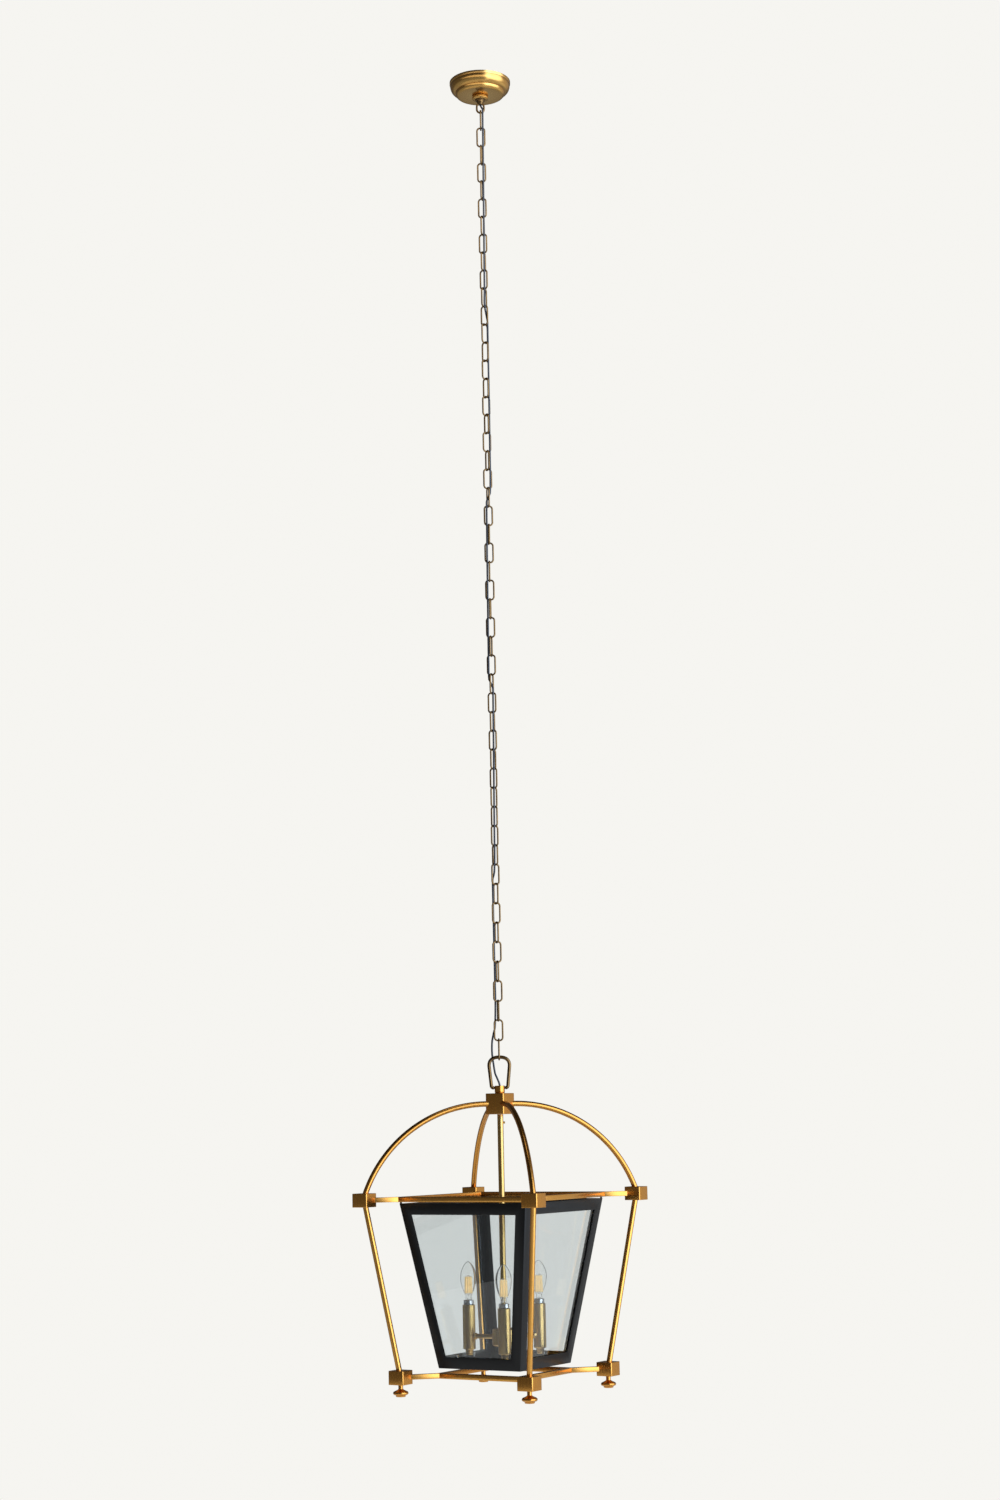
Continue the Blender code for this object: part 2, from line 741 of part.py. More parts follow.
def arm_socket_mesh(entry, floor):
    """The same for a square arm of the ring."""
    along = (floor - entry).normalized()
    return bar_between("socket", entry - along * 8 * MM, floor + along * socket_end_gap,
                       ring_arm_side + 2 * socket_clearance)


def make_corner_blocks():
    half = corner_block_height / 2
    inner = corner_block_side / math.sqrt(2)
    for signs, corner in zip(side_signs, corner_names):
        arc_in = diagonal(signs, *arc_point(arc_angle(upper_face)))
        arc_end = diagonal(signs, *arc_point(arc_angle(upper_face - rod_socket_depth)))
        post_in = post_point(signs, half / cage_height)
        post_end = post_point(signs, (half - rod_socket_depth) / cage_height)
        arm_in = diagonal(signs, upper_reach - inner, upper_level)
        arm_end = diagonal(signs, upper_reach - inner + ring_arm_socket, upper_level)
        corner_block("top_corner_block_" + corner, signs, upper_reach, upper_level, [
            socket_mesh(arc_in, arc_end, rod_radius),
            socket_mesh(post_in, post_end, rod_radius),
            arm_socket_mesh(arm_in, arm_end)])

        post_in = post_point(signs, 1 - half / cage_height)
        post_end = post_point(signs, 1 - (half - rod_socket_depth) / cage_height)
        arm_in = diagonal(signs, lower_reach - inner, lower_level)
        arm_end = diagonal(signs, lower_reach - inner + ring_arm_socket, lower_level)
        foot_in = diagonal(signs, lower_reach, lower_level - half)
        foot_end = diagonal(signs, lower_reach, lower_level - half + foot_stem_socket)
        corner_block("bottom_corner_block_" + corner, signs, lower_reach, lower_level, [
            socket_mesh(post_in, post_end, rod_radius),
            arm_socket_mesh(arm_in, arm_end),
            socket_mesh(foot_in, foot_end, foot_stem_radius)])


def make_feet():
    stem = -foot_stem_height
    base = stem - foot_height
    shoulder = foot_radius - 2.0 * MM
    profile = [(0, foot_stem_socket), (foot_stem_radius, foot_stem_socket), (foot_stem_radius, stem + MM),
               (foot_stem_radius + 2 * MM, stem), (foot_radius * 0.72, stem - 2.6 * MM),
               (shoulder, stem - 4.4 * MM), (foot_radius, stem - 6.2 * MM), (foot_radius, stem - 11 * MM),
               (shoulder, stem - 12.4 * MM), (shoulder - MM, base + 2 * MM), (shoulder - 3.5 * MM, base),
               (0, base)]
    for signs, corner in zip(side_signs, corner_names):
        turned("foot_" + corner, profile, brass,
               diagonal(signs, lower_reach, lower_level - corner_block_height / 2), sides=12)


def make_ring(name, side, level, reach):
    bar = ring_bar
    ring = add_object(name, box_mesh(name, (side, side, bar), (0, 0, level)), brass)
    opening = box_mesh(name + "_opening", (side - 2 * bar, side - 2 * bar, 3 * bar), (0, 0, level))
    combine(ring, as_cutter(add_object(name + "_opening", opening)), "DIFFERENCE")
    start = (side / 2 - bar / 2) * math.sqrt(2)
    end = reach - corner_block_side / math.sqrt(2) + ring_arm_socket
    arms = [bar_between("arm", diagonal(signs, start, level), diagonal(signs, end, level), ring_arm_side)
            for signs in side_signs]
    combine(ring, as_cutter(add_object(name + "_arms", joined_mesh(name + "_arms", arms))), "UNION")


# ---- glass box -------------------------------------------------------------------------

def box_half(height):
    """Half the box's outside width at a height."""
    share = (height - box_bottom) / (box_top - box_bottom)
    return (box_bottom_side + (box_top_side - box_bottom_side) * share) / 2


def window_mesh(name, turn):
    """A tapered opening through two opposite walls."""
    low = box_bottom + frame_leg
    high = box_top - frame_leg
    bm = bmesh.new()
    bmesh.ops.create_cube(bm, size=2.0)
    for vert in bm.verts:
        height = high if vert.co.z > 0 else low
        reach = vert.co.y * box_top_side
        vert.co = Vector((vert.co.x * (box_half(height) - frame_leg), reach, height))
    bmesh.ops.rotate(bm, verts=bm.verts, matrix=Matrix.Rotation(turn, 3, "Z"))
    return mesh_from(bm, name)


def side_matrix(turn):
    """Local axes of one wall: X along it, Y up it, Z inwards, from its foot's outer edge."""
    tilt = Matrix.Rotation(HALF_TURN / 2 + box_tilt, 4, "X")
    flip = Matrix.Scale(-1, 4, (0, 0, 1)) @ Matrix.Scale(-1, 4, (1, 0, 0))
    foot = Matrix.Translation((0.0, -box_bottom_side / 2, box_bottom))
    return Matrix.Rotation(turn, 4, "Z") @ foot @ tilt @ flip


def along_wall(height):
    """Distance up the wall from its foot to a height."""
    return (height - box_bottom) / math.cos(box_tilt)


def pane_ends():
    return box_bottom + frame_leg - glass_overlap, box_top - frame_leg + glass_overlap


def tab_mesh(x, matrix):
    """An angled tab: its root stands on the wall, its leaf holds the pane."""
    low, _ = pane_ends()
    edge = along_wall(low) - touch_gap
    inside = frame_wall + touch_gap + glass_thickness + touch_gap
    outline = [(frame_wall - 0.5 * MM, edge - tab_root), (inside + tab_thickness, edge - tab_root),
               (inside + tab_thickness, edge + tab_grip), (inside, edge + tab_grip), (inside, edge),
               (frame_wall - 0.5 * MM, edge)]
    mesh = outline_mesh("tab", outline, tab_width)
    upright = Matrix.Translation((x, 0, 0)) @ Matrix(((0, 0, 1, 0), (0, 1, 0, 0), (1, 0, 0, 0), (0, 0, 0, 1)))
    mesh.transform(matrix @ upright)
    if (matrix @ upright).determinant() < 0:
        mesh.flip_normals()
    return mesh


def make_frame():
    frame = add_object("lantern_frame", frustum_mesh("lantern_frame", box_bottom_side / 2, box_top_side / 2,
                                                     box_bottom, box_top), black)
    wall = frame_wall / math.cos(box_tilt)
    low = box_bottom + frame_wall
    high = box_top - frame_wall
    hollow = frustum_mesh("frame_hollow", box_half(low) - wall, box_half(high) - wall, low, high)
    over = 20.0 * MM
    through = frustum_mesh("frame_through", box_half(box_bottom - over) - frame_flange,
                           box_half(box_top + over) - frame_flange, box_bottom - over, box_top + over)
    for mesh in (hollow, through, window_mesh("frame_window_y", 0.0), window_mesh("frame_window_x", HALF_TURN / 2)):
        combine(frame, as_cutter(add_object(mesh.name, mesh)), "DIFFERENCE")

    stud = box_top_side / 2 - stud_radius - 0.2 * MM
    studs = [cylinder_between("stud", (sx * stud, sy * stud, box_top - frame_wall / 2),
                              (sx * stud, sy * stud, box_top + box_gap_top - touch_gap), stud_radius, 10)
             for sx, sy in side_signs]
    combine(frame, as_cutter(add_object("frame_studs", joined_mesh("frame_studs", studs))), "UNION")

    reach = box_bottom_side * tab_spacing / 2
    tabs = []
    for quarter in range(4):
        matrix = side_matrix(HALF_TURN / 2 * quarter)
        tabs += [tab_mesh(sign * reach, matrix) for sign in (-1, 1)]
    combine(frame, as_cutter(add_object("frame_tabs", joined_mesh("frame_tabs", tabs))), "UNION")


def make_panes():
    low, high = pane_ends()
    inside = frame_wall + touch_gap + glass_thickness / 2
    overhang = frame_leg - glass_overlap
    outline = [(-(box_half(low) - overhang), along_wall(low)), (box_half(low) - overhang, along_wall(low)),
               (box_half(high) - overhang, along_wall(high)), (-(box_half(high) - overhang), along_wall(high))]
    for quarter, name in enumerate(("front_left", "front_right", "back_right", "back_left")):
        mesh = outline_mesh("pane", outline, glass_thickness)
        matrix = side_matrix(HALF_TURN / 2 * quarter) @ Matrix.Translation((0, 0, inside))
        mesh.transform(matrix)
        if matrix.determinant() < 0:
            mesh.flip_normals()
        finish_mesh(mesh, "pane_" + name, glass)


# ---- lights ----------------------------------------------------------------------------

def make_stem_and_hub():
    hub_top = hub_level + hub_height / 2
    block_bottom = block_top - top_block_height
    stem_top = block_bottom - touch_gap
    turned("stem", [(0, stem_top), (stem_radius, stem_top), (stem_radius, hub_top + touch_gap),
                    (0, hub_top + touch_gap)], brass, (0, 0, 0), parent=cluster, sides=16)
    screw_level = block_bottom - stem_screw_drop
    start = stem_radius + touch_gap
    screw = cylinder_between("stem_screw", (start, 0, screw_level), (start + stem_screw_length, 0, screw_level),
                             stem_screw_radius, 10)
    finish_mesh(screw, "stem_screw", brass, parent=hanging)
    edge = hub_chamfer
    half = hub_height / 2
    profile = [(0, half), (hub_radius - edge, half), (hub_radius, half - edge), (hub_radius, -half + edge),
               (hub_radius - edge, -half), (hub_radius * 0.35, -half), (hub_radius * 0.35, -half - 5 * MM),
               (hub_radius * 0.2, -half - 8 * MM), (0, -half - 8 * MM)]
    turned("hub", profile, brass, (0, 0, hub_level), parent=cluster, sides=24)


def sleeve_profile():
    inner = sleeve_radius - sleeve_wall
    floor = sleeve_bottom + sleeve_floor
    cap = sleeve_bottom - cap_height
    return [(0, floor), (inner, floor), (inner, sleeve_top), (sleeve_radius, sleeve_top),
            (sleeve_radius, sleeve_bottom + MM), (sleeve_radius - MM, sleeve_bottom),
            (cap_radius, sleeve_bottom), (cap_radius, cap + 0.45 * cap_height),
            (cap_radius * 0.8, cap + 0.4 * cap_height), (cap_radius * 0.8, cap + MM),
            (cap_radius * 0.7, cap), (0, cap)]


def socket_profile():
    top = sleeve_top - socket_recess
    bottom = sleeve_bottom + sleeve_floor + touch_gap
    hole = bulb_base_radius + bulb_base_clearance
    floor = sleeve_top - bulb_base_depth - socket_end_gap
    return [(0, floor), (hole, floor), (hole, top), (socket_radius, top), (socket_radius, bottom), (0, bottom)]


def bulb_profile():
    """Screw base, metal collar and a candle-flame envelope."""
    glass_foot = sleeve_top + bulb_collar
    profile = [(0, glass_foot + bulb_length)]
    steps = 9
    for step in range(1, steps + 1):
        share = step / steps
        swell = math.sin(HALF_TURN * share ** 0.80) ** 0.86
        foot = bulb_base_radius * smooth((share - 0.62) / 0.38)
        profile.append((max(foot, (bulb_radius - 0.5 * MM * share) * swell),
                        glass_foot + bulb_length * (1 - share)))
    base = sleeve_top - bulb_base_depth
    profile += [(bulb_base_radius, base + 3 * MM), (bulb_base_radius * 0.5, base), (0, base)]
    return profile


def make_candles():
    for index in range(arm_count):
        number = str(index + 1)
        turn = 2 * HALF_TURN * index / arm_count - HALF_TURN / 2
        place = Vector((candle_circle * math.cos(turn), candle_circle * math.sin(turn), 0.0))
        outward = place.normalized()
        seat = add_empty("candle_" + number, place, parent=cluster)

        start = outward * (hub_radius + touch_gap) + Vector((0, 0, hub_level))
        end = place + Vector((0, 0, hub_level))
        arm = finish_mesh(cylinder_between("arm", start, end, arm_radius, 12), "arm_" + number, brass,
                          parent=cluster)
        cuff_start = place - outward * (sleeve_radius + cuff_length) + Vector((0, 0, hub_level))
        cuff = add_object("cuff_" + number, cylinder_between("cuff", cuff_start, end, cuff_radius, 16),
                          parent=cluster)
        saddle = cylinder_between("saddle", (0, 0, sleeve_bottom), (0, 0, sleeve_top),
                                  sleeve_radius + touch_gap, 20)
        saddle = add_object("saddle_" + number, saddle, parent=seat)
        combine(arm, as_cutter(cuff), "UNION")
        combine(arm, as_cutter(saddle), "DIFFERENCE")

        turned("sleeve_" + number, sleeve_profile(), brass, (0, 0, 0), parent=seat, sides=16)
        turned("socket_" + number, socket_profile(), black, (0, 0, 0), parent=seat, sides=14)
        turned("bulb_" + number, bulb_profile(), bulb_glass, (0, 0, 0), parent=seat, sides=14)


def hang_everything():
    """One empty for each joint, each carried by the one above it, as the pieces hang."""
    in_lantern = [thing.name for thing in parts.objects if thing.name.startswith(lantern_pieces)]
    in_lantern += [thing.name for thing in cutters.objects if thing.name.startswith(lantern_pieces)]
    slide = hang("canopy_slide", 0.0, 0.0, None, ["canopy"])
    hang("collar_turn", collar_top, 0.0, slide, ["canopy_collar"])
    carrier = hang("top_link_swing", loop_bar, hanging_turn, None, ["top_link"])
    for name, first in zip(("chain_upper", "chain_middle", "chain_lower", "bottom_link"), run_starts[1:]):
        bar = link_tops[first - 2] - link_span
        hung = [name, name + "_between"] if name.startswith("chain") else [name]
        hung += ["power_cord"] if name == "chain_middle" else []
        carrier = hang(name + "_swing", bar, hanging_turn + link_angle(first - 1), carrier, hung)
    carrier = hang("stirrup_swing", last_bar, hanging_turn + link_angle(link_count), carrier, ["lantern_loop"])
    hang("lantern_swing", pin_level, hanging_turn, carrier, in_lantern + ["candles"])


clear_scene()
parts = new_collection("hanging_lantern")
cutters = new_collection("cutters", hidden=True)
brass = new_material("aged brass", (0.52, 0.31, 0.10), 0.32, 1.0)
black = new_material("black steel", (0.013, 0.013, 0.014), 0.45, 0.2)
steel = new_material("zinc plated steel", (0.55, 0.56, 0.58), 0.4, 1.0)
glass = new_material("clear glass", (0.80, 0.85, 0.83), 0.03, 0.0, alpha=0.3)
bulb_glass = new_material("bulb glass", (0.93, 0.90, 0.82), 0.03, 0.0, alpha=0.4)
cord_black = new_material("cord", (0.035, 0.035, 0.042), 0.5, 0.0)

hanging = add_empty("hanging_axis", (0, 0, 0), turn=hanging_turn)
cluster = add_empty("candles", (0, 0, 0), turn=cluster_turn)
lantern_pieces = ("neck_", "top_block", "top_corner", "top_ring", "bottom_corner", "bottom_ring", "arc_",
                  "post_", "foot_", "lantern_frame", "frame_", "pane_", "stem_screw")

make_fixing()
make_canopy()
make_canopy_loop()
make_chain()
make_cord()
make_stirrup()
make_neck()
make_top_block()
make_arcs()
make_posts()
make_corner_blocks()
make_feet()
make_ring("top_ring", top_ring_side, upper_level, upper_reach)
make_ring("bottom_ring", bottom_ring_side, lower_level, lower_reach)
make_frame()
make_panes()
make_stem_and_hub()
make_candles()
hang_everything()
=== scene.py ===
import json
import math

import bmesh
import bpy
from mathutils import Matrix, Vector


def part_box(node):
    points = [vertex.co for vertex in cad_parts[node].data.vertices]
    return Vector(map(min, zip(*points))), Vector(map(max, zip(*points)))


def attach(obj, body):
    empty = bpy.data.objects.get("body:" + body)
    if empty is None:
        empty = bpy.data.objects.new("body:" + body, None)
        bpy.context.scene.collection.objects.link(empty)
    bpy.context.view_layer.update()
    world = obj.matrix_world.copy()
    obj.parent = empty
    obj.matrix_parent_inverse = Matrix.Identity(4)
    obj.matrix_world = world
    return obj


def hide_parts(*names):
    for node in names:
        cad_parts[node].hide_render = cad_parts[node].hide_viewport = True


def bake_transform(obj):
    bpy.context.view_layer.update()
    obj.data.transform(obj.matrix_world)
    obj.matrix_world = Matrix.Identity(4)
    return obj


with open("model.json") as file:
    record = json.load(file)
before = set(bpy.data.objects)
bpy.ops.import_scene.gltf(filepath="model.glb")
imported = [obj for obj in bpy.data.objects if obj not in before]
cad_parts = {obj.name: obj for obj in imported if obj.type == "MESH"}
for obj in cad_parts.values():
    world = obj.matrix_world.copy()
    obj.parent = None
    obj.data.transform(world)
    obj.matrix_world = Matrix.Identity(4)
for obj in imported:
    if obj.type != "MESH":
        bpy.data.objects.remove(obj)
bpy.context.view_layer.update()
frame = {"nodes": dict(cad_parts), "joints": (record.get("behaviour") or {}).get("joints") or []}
scene = bpy.context.scene
mm = 0.001
halfTurn = math.pi
cageCorners = {"front": (1, -1), "right": (1, 1), "back": (-1, 1), "left": (-1, -1)}
hangingTurn = math.radians(33.0)  # chain, stirrup and candles against the cage's sides
print("frame loaded")


def topOf(node):
    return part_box(node)[1].z


def bottomOf(node):
    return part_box(node)[0].z


def middleOf(node):
    return (topOf(node) + bottomOf(node)) / 2


def jointPlace(name):
    return Vector(next(j["pos_m"] for j in frame["joints"] if j["name"] == name))


# Camera, floor and light.

cameraSetup = {"place": (2.9033, -4.5384, -2.3798), "heading": 32.443, "pitch": 8.621, "roll": -1.157,
               "lens": 58.95}


def makeCamera():
    heading = math.radians(cameraSetup["heading"])
    pitch = math.radians(cameraSetup["pitch"])
    roll = math.radians(cameraSetup["roll"])
    level = math.cos(pitch)
    ahead = Vector((-math.sin(heading) * level, math.cos(heading) * level, math.sin(pitch)))
    right = ahead.cross(Vector((0, 0, 1))).normalized()
    up = right.cross(ahead)
    right, up = right * math.cos(roll) + up * math.sin(roll), up * math.cos(roll) - right * math.sin(roll)
    camera = bpy.data.objects.new("StudioCamera", bpy.data.cameras.new("StudioCamera"))
    camera.data.lens = cameraSetup["lens"]
    camera.matrix_world = Matrix((right, up, -ahead)).transposed().to_4x4()
    camera.location = cameraSetup["place"]
    scene.collection.objects.link(camera)
    scene.camera = camera


makeCamera()

studio = {"floorLevel": -3.75, "floorRadius": 3.1, "floorGlow": 0.55, "backdrop": (0.921, 0.912, 0.878),
          "tone": (1.0, 0.985, 0.955), "dim": 0.13, "side": 0.60, "sideRamp": (0.30, 0.88),
          "above": 0.12, "aboveRamp": (0.10, 0.75), "below": 0.38, "belowSide": 1.0,
          "belowRamp": (-0.16, -0.45), "belowTone": (0.88, 0.96, 1.0), "key": 2.6,
          "keyRamp": (0.72, 0.90), "keyTone": (0.84, 1.0, 1.22), "keyTurn": math.radians(55),
          "keyLift": 0.12}
rightward = Vector((math.cos(hangingTurn), math.sin(hangingTurn), 0))
awayFromView = Vector((-math.sin(hangingTurn), math.cos(hangingTurn), 0))


def addNode(tree, kind, **inputs):
    # each node stands to the right of the one made before it
    made = tree.nodes.new(kind)
    made.location = (200 * len(tree.nodes), 0)
    for name, value in inputs.items():
        made.inputs[name.replace("_", " ")].default_value = value
    return made


def addMath(tree, operation):
    made = addNode(tree, "ShaderNodeMath")
    made.operation = operation
    return made


def addRamp(tree, span, low=0.0, high=1.0):
    made = addNode(tree, "ShaderNodeMapRange", From_Min=span[0], From_Max=span[1], To_Min=low, To_Max=high)
    made.interpolation_type = "SMOOTHSTEP"
    return made


def addDot(tree, against):
    made = addNode(tree, "ShaderNodeVectorMath")
    made.operation = "DOT_PRODUCT"
    made.inputs[1].default_value = against
    return made


def joinNodes(tree, *joins):
    # each join is a node, its output, the next node and its input
    for start, output, end, target in joins:
        tree.links.new(start.outputs[output], end.inputs[target])


def makeWorld():
    # straight rays see the plain backdrop; reflections see a lit side, a key window and a pale underside
    world = bpy.data.worlds.new("PaleStudio")
    scene.world = world
    world.use_nodes = True
    tree = world.node_tree
    tree.nodes.clear()
    direction = addNode(tree, "ShaderNodeTexCoord")
    facing = addDot(tree, rightward)
    height = addNode(tree, "ShaderNodeSeparateXYZ")
    side = addRamp(tree, studio["sideRamp"], studio["dim"], studio["side"])
    above = addRamp(tree, studio["aboveRamp"], 1.0, studio["above"])
    level = addMath(tree, "MULTIPLY")
    below = addRamp(tree, studio["belowRamp"])
    lower = addRamp(tree, studio["sideRamp"], studio["below"], studio["belowSide"])
    keyPlace = rightward * math.sin(studio["keyTurn"]) - awayFromView * math.cos(studio["keyTurn"])
    towards = addDot(tree, keyPlace + Vector((0, 0, studio["keyLift"])))
    window = addRamp(tree, studio["keyRamp"], 0.0, studio["key"])
    lit = addNode(tree, "ShaderNodeBackground", Color=(*studio["tone"], 1))
    low = addNode(tree, "ShaderNodeBackground", Color=(*studio["belowTone"], 1))
    key = addNode(tree, "ShaderNodeBackground", Color=(*studio["keyTone"], 1))
    around = addNode(tree, "ShaderNodeMixShader")
    total = addNode(tree, "ShaderNodeAddShader")
    plain = addNode(tree, "ShaderNodeBackground", Color=(*studio["backdrop"], 1))
    rays = addNode(tree, "ShaderNodeLightPath")
    bounces = addMath(tree, "ADD")
    unturned = addMath(tree, "LESS_THAN")
    through = addMath(tree, "MULTIPLY")
    straight = addMath(tree, "MAXIMUM")
    mix = addNode(tree, "ShaderNodeMixShader")
    out = addNode(tree, "ShaderNodeOutputWorld")
    joinNodes(tree, (direction, "Generated", facing, 0), (direction, "Generated", height, 0),
              (direction, "Generated", towards, 0), (facing, "Value", side, "Value"),
              (facing, "Value", lower, "Value"), (towards, "Value", window, "Value"),
              (height, "Z", above, "Value"), (side, "Result", level, 0), (above, "Result", level, 1),
              (height, "Z", below, "Value"), (level, 0, lit, "Strength"), (lower, "Result", low, "Strength"),
              (window, "Result", key, "Strength"), (below, "Result", around, "Fac"), (lit, 0, around, 1),
              (low, 0, around, 2), (around, 0, total, 0), (key, 0, total, 1))
    joinNodes(tree, (rays, "Glossy Depth", bounces, 0), (rays, "Diffuse Depth", bounces, 1),
              (bounces, 0, unturned, 0), (unturned, 0, through, 0), (rays, "Is Transmission Ray", through, 1),
              (rays, "Is Camera Ray", straight, 0), (through, 0, straight, 1), (straight, 0, mix, "Fac"),
              (total, 0, mix, 1), (plain, 0, mix, 2), (mix, 0, out, "Surface"))


def makeFloor():
    bm = bmesh.new()
    bmesh.ops.create_circle(bm, cap_ends=True, segments=96, radius=studio["floorRadius"],
                            matrix=Matrix.Translation((0, 0, studio["floorLevel"])))
    mesh = bpy.data.meshes.new("StudioFloor")
    bm.to_mesh(mesh)
    bm.free()
    pale = bpy.data.materials.new("PaleFloor")
    pale.use_nodes = True
    surface = pale.node_tree.nodes["Principled BSDF"]
    surface.inputs["Base Color"].default_value = (0.86, 0.85, 0.82, 1)
    surface.inputs["Roughness"].default_value = 0.8
    surface.inputs["Emission Color"].default_value = (0.85, 0.84, 0.80, 1)
    surface.inputs["Emission Strength"].default_value = studio["floorGlow"]
    mesh.materials.append(pale)
    floor = bpy.data.objects.new("StudioFloor", mesh)
    scene.collection.objects.link(floor)


def addSoftbox(name, place, target, width, height, power, colour=(1, 0.98, 0.95)):
    light = bpy.data.lights.new(name, "AREA")
    light.shape = "RECTANGLE"
    light.size = width
    light.size_y = height
    light.energy = power
    light.color = colour
    lamp = bpy.data.objects.new(name, light)
    lamp.location = place
    lamp.rotation_mode = "QUATERNION"
    lamp.rotation_quaternion = (Vector(target) - Vector(place)).to_track_quat("-Z", "Y")
    scene.collection.objects.link(lamp)


makeWorld()
makeFloor()
addSoftbox("FrontStrip", rightward * 1.45 - awayFromView * 2.3 + Vector((0, 0, -0.9)), (0, 0, -0.9),
           0.7, 5.0, 14, (0.85, 1.0, 1.15))
addSoftbox("TopSoft", -awayFromView * 0.6 + Vector((0, 0, -0.1)), (0, 0, -2.6), 0.9, 0.9, 3)
scene.view_settings.view_transform = "Standard"
print("camera, floor and light")


# Finishes.


def newFinish(name):
    finish = bpy.data.materials.new(name)
    finish.use_nodes = True
    return finish, finish.node_tree, finish.node_tree.nodes["Principled BSDF"]


def mixColours(tree, first, second):
    mix = addNode(tree, "ShaderNodeMix")
    mix.data_type = "RGBA"
    mix.inputs[6].default_value = (*first, 1)
    mix.inputs[7].default_value = (*second, 1)
    return mix


def metalFinish(name, tone, worn, edge, rough, patinaSize, brushed, brushHeight):
    # patina clouds, a painted highlight on the sharp edges, fine brush lines along the stored grain
    finish, tree, shader = newFinish(name)
    shader.inputs["Metallic"].default_value = 1.0
    place = addNode(tree, "ShaderNodeTexCoord")
    clouds = addNode(tree, "ShaderNodeTexNoise", Scale=patinaSize, Detail=5.0, Roughness=0.6)
    spread = addNode(tree, "ShaderNodeMapRange", From_Min=0.38, From_Max=0.66)
    tones = mixColours(tree, tone, worn)
    relief = addNode(tree, "ShaderNodeNewGeometry")
    # painted highlight: sharp edges (high pointiness) are mixed towards the lighter edge tone
    edgeHighlightMask = addNode(tree, "ShaderNodeMapRange", From_Min=0.515, From_Max=0.60)
    edgeHighlighted = mixColours(tree, tone, edge)
    grain = addNode(tree, "ShaderNodeAttribute")
    grain.attribute_name = "grain"
    lines = addNode(tree, "ShaderNodeTexNoise", Scale=brushed, Detail=3.0, Roughness=0.55)
    gloss = addNode(tree, "ShaderNodeMapRange", From_Min=0.3, From_Max=0.7, To_Min=rough[0],
                    To_Max=rough[1])
    bump = addNode(tree, "ShaderNodeBump", Strength=0.2, Distance=brushHeight)
    joinNodes(tree, (place, "Object", clouds, "Vector"), (clouds, "Fac", spread, "Value"),
              (spread, "Result", tones, 0), (relief, "Pointiness", edgeHighlightMask, "Value"), (tones, 2, edgeHighlighted, 6),
              (edgeHighlightMask, "Result", edgeHighlighted, 0), (edgeHighlighted, 2, shader, "Base Color"),
              (grain, "Vector", lines, "Vector"), (lines, "Fac", gloss, "Value"),
              (gloss, "Result", shader, "Roughness"), (lines, "Fac", bump, "Height"),
              (bump, "Normal", shader, "Normal"))
    return finish


def coatedFinish(name, tone, other, rough, grainSize, height, specular=0.5):
    # painted, moulded or rubbery surface with a fine orange peel
    finish, tree, shader = newFinish(name)
    shader.inputs["Specular IOR Level"].default_value = specular
    place = addNode(tree, "ShaderNodeTexCoord")
    clouds = addNode(tree, "ShaderNodeTexNoise", Scale=30.0, Detail=4.0)
    tones = mixColours(tree, tone, other)
    peel = addNode(tree, "ShaderNodeTexNoise", Scale=grainSize, Detail=2.0)
    gloss = addNode(tree, "ShaderNodeMapRange", From_Min=0.3, From_Max=0.7, To_Min=rough[0],
                    To_Max=rough[1])
    bump = addNode(tree, "ShaderNodeBump", Strength=0.25, Distance=height)
    joinNodes(tree, (place, "Object", clouds, "Vector"), (place, "Object", peel, "Vector"),
              (clouds, "Fac", tones, 0), (tones, 2, shader, "Base Color"), (clouds, "Fac", gloss, "Value"),
              (gloss, "Result", shader, "Roughness"), (peel, "Fac", bump, "Height"),
              (bump, "Normal", shader, "Normal"))
    return finish


def glassFinish(name, tint, other, index):
    # clear, polished glass with a faint drift of tint
    finish, tree, shader = newFinish(name)
    shader.inputs["Transmission Weight"].default_value = 1.0
    shader.inputs["Roughness"].default_value = 0.0
    shader.inputs["IOR"].default_value = index
    place = addNode(tree, "ShaderNodeTexCoord")
    drift = addNode(tree, "ShaderNodeTexNoise", Scale=6.0, Detail=3.0)
    tones = mixColours(tree, tint, other)
    joinNodes(tree, (place, "Object", drift, "Vector"), (drift, "Fac", tones, 0),
              (tones, 2, shader, "Base Color"))
    return finish


# the third colour of each metal is the painted highlight tone on its sharp edges
agedBrass = metalFinish("AgedBrass", (0.63, 0.285, 0.058), (0.60, 0.265, 0.053), (0.74, 0.38, 0.09),
                        (0.22, 0.30), 9.0, 0.3, 0.000004)
chainBrass = metalFinish("ChainBrass", (0.20, 0.115, 0.045), (0.11, 0.062, 0.024), (0.34, 0.22, 0.10),
                         (0.20, 0.30), 60.0, 0.3, 0.000004)
satinBrass = metalFinish("SatinBrass", (0.60, 0.38, 0.125), (0.57, 0.355, 0.115), (0.72, 0.50, 0.19),
                         (0.28, 0.36), 16.0, 0.3, 0.000004)
spunBrass = metalFinish("SpunBrass", (0.62, 0.345, 0.10), (0.58, 0.32, 0.09), (0.80, 0.50, 0.18),
                        (0.20, 0.26), 7.0, 0.3, 0.000004)
nickel = metalFinish("NickelCap", (0.62, 0.61, 0.58), (0.42, 0.41, 0.39), (0.85, 0.84, 0.82),
                     (0.14, 0.30), 80.0, 1.0, 0.00003)
zincSteel = metalFinish("ZincSteel", (0.55, 0.56, 0.58), (0.40, 0.40, 0.41), (0.75, 0.75, 0.76),
                        (0.28, 0.45), 50.0, 0.6, 0.00005)
blackSteel = coatedFinish("BlackSteel", (0.0045, 0.0047, 0.0052), (0.0065, 0.0067, 0.0072), (0.30, 0.40),
                          900.0, 0.00002, specular=0.28)
blackPlastic = coatedFinish("SocketPlastic", (0.012, 0.012, 0.012), (0.022, 0.022, 0.022), (0.35, 0.5), 600.0,
                            0.00003)
cordJacket = coatedFinish("CordJacket", (0.018, 0.021, 0.030), (0.034, 0.038, 0.050), (0.22, 0.34), 500.0,
                          0.00003)
paneGlass = glassFinish("PaneGlass", (0.838, 0.874, 0.884), (0.846, 0.880, 0.890), 1.5)
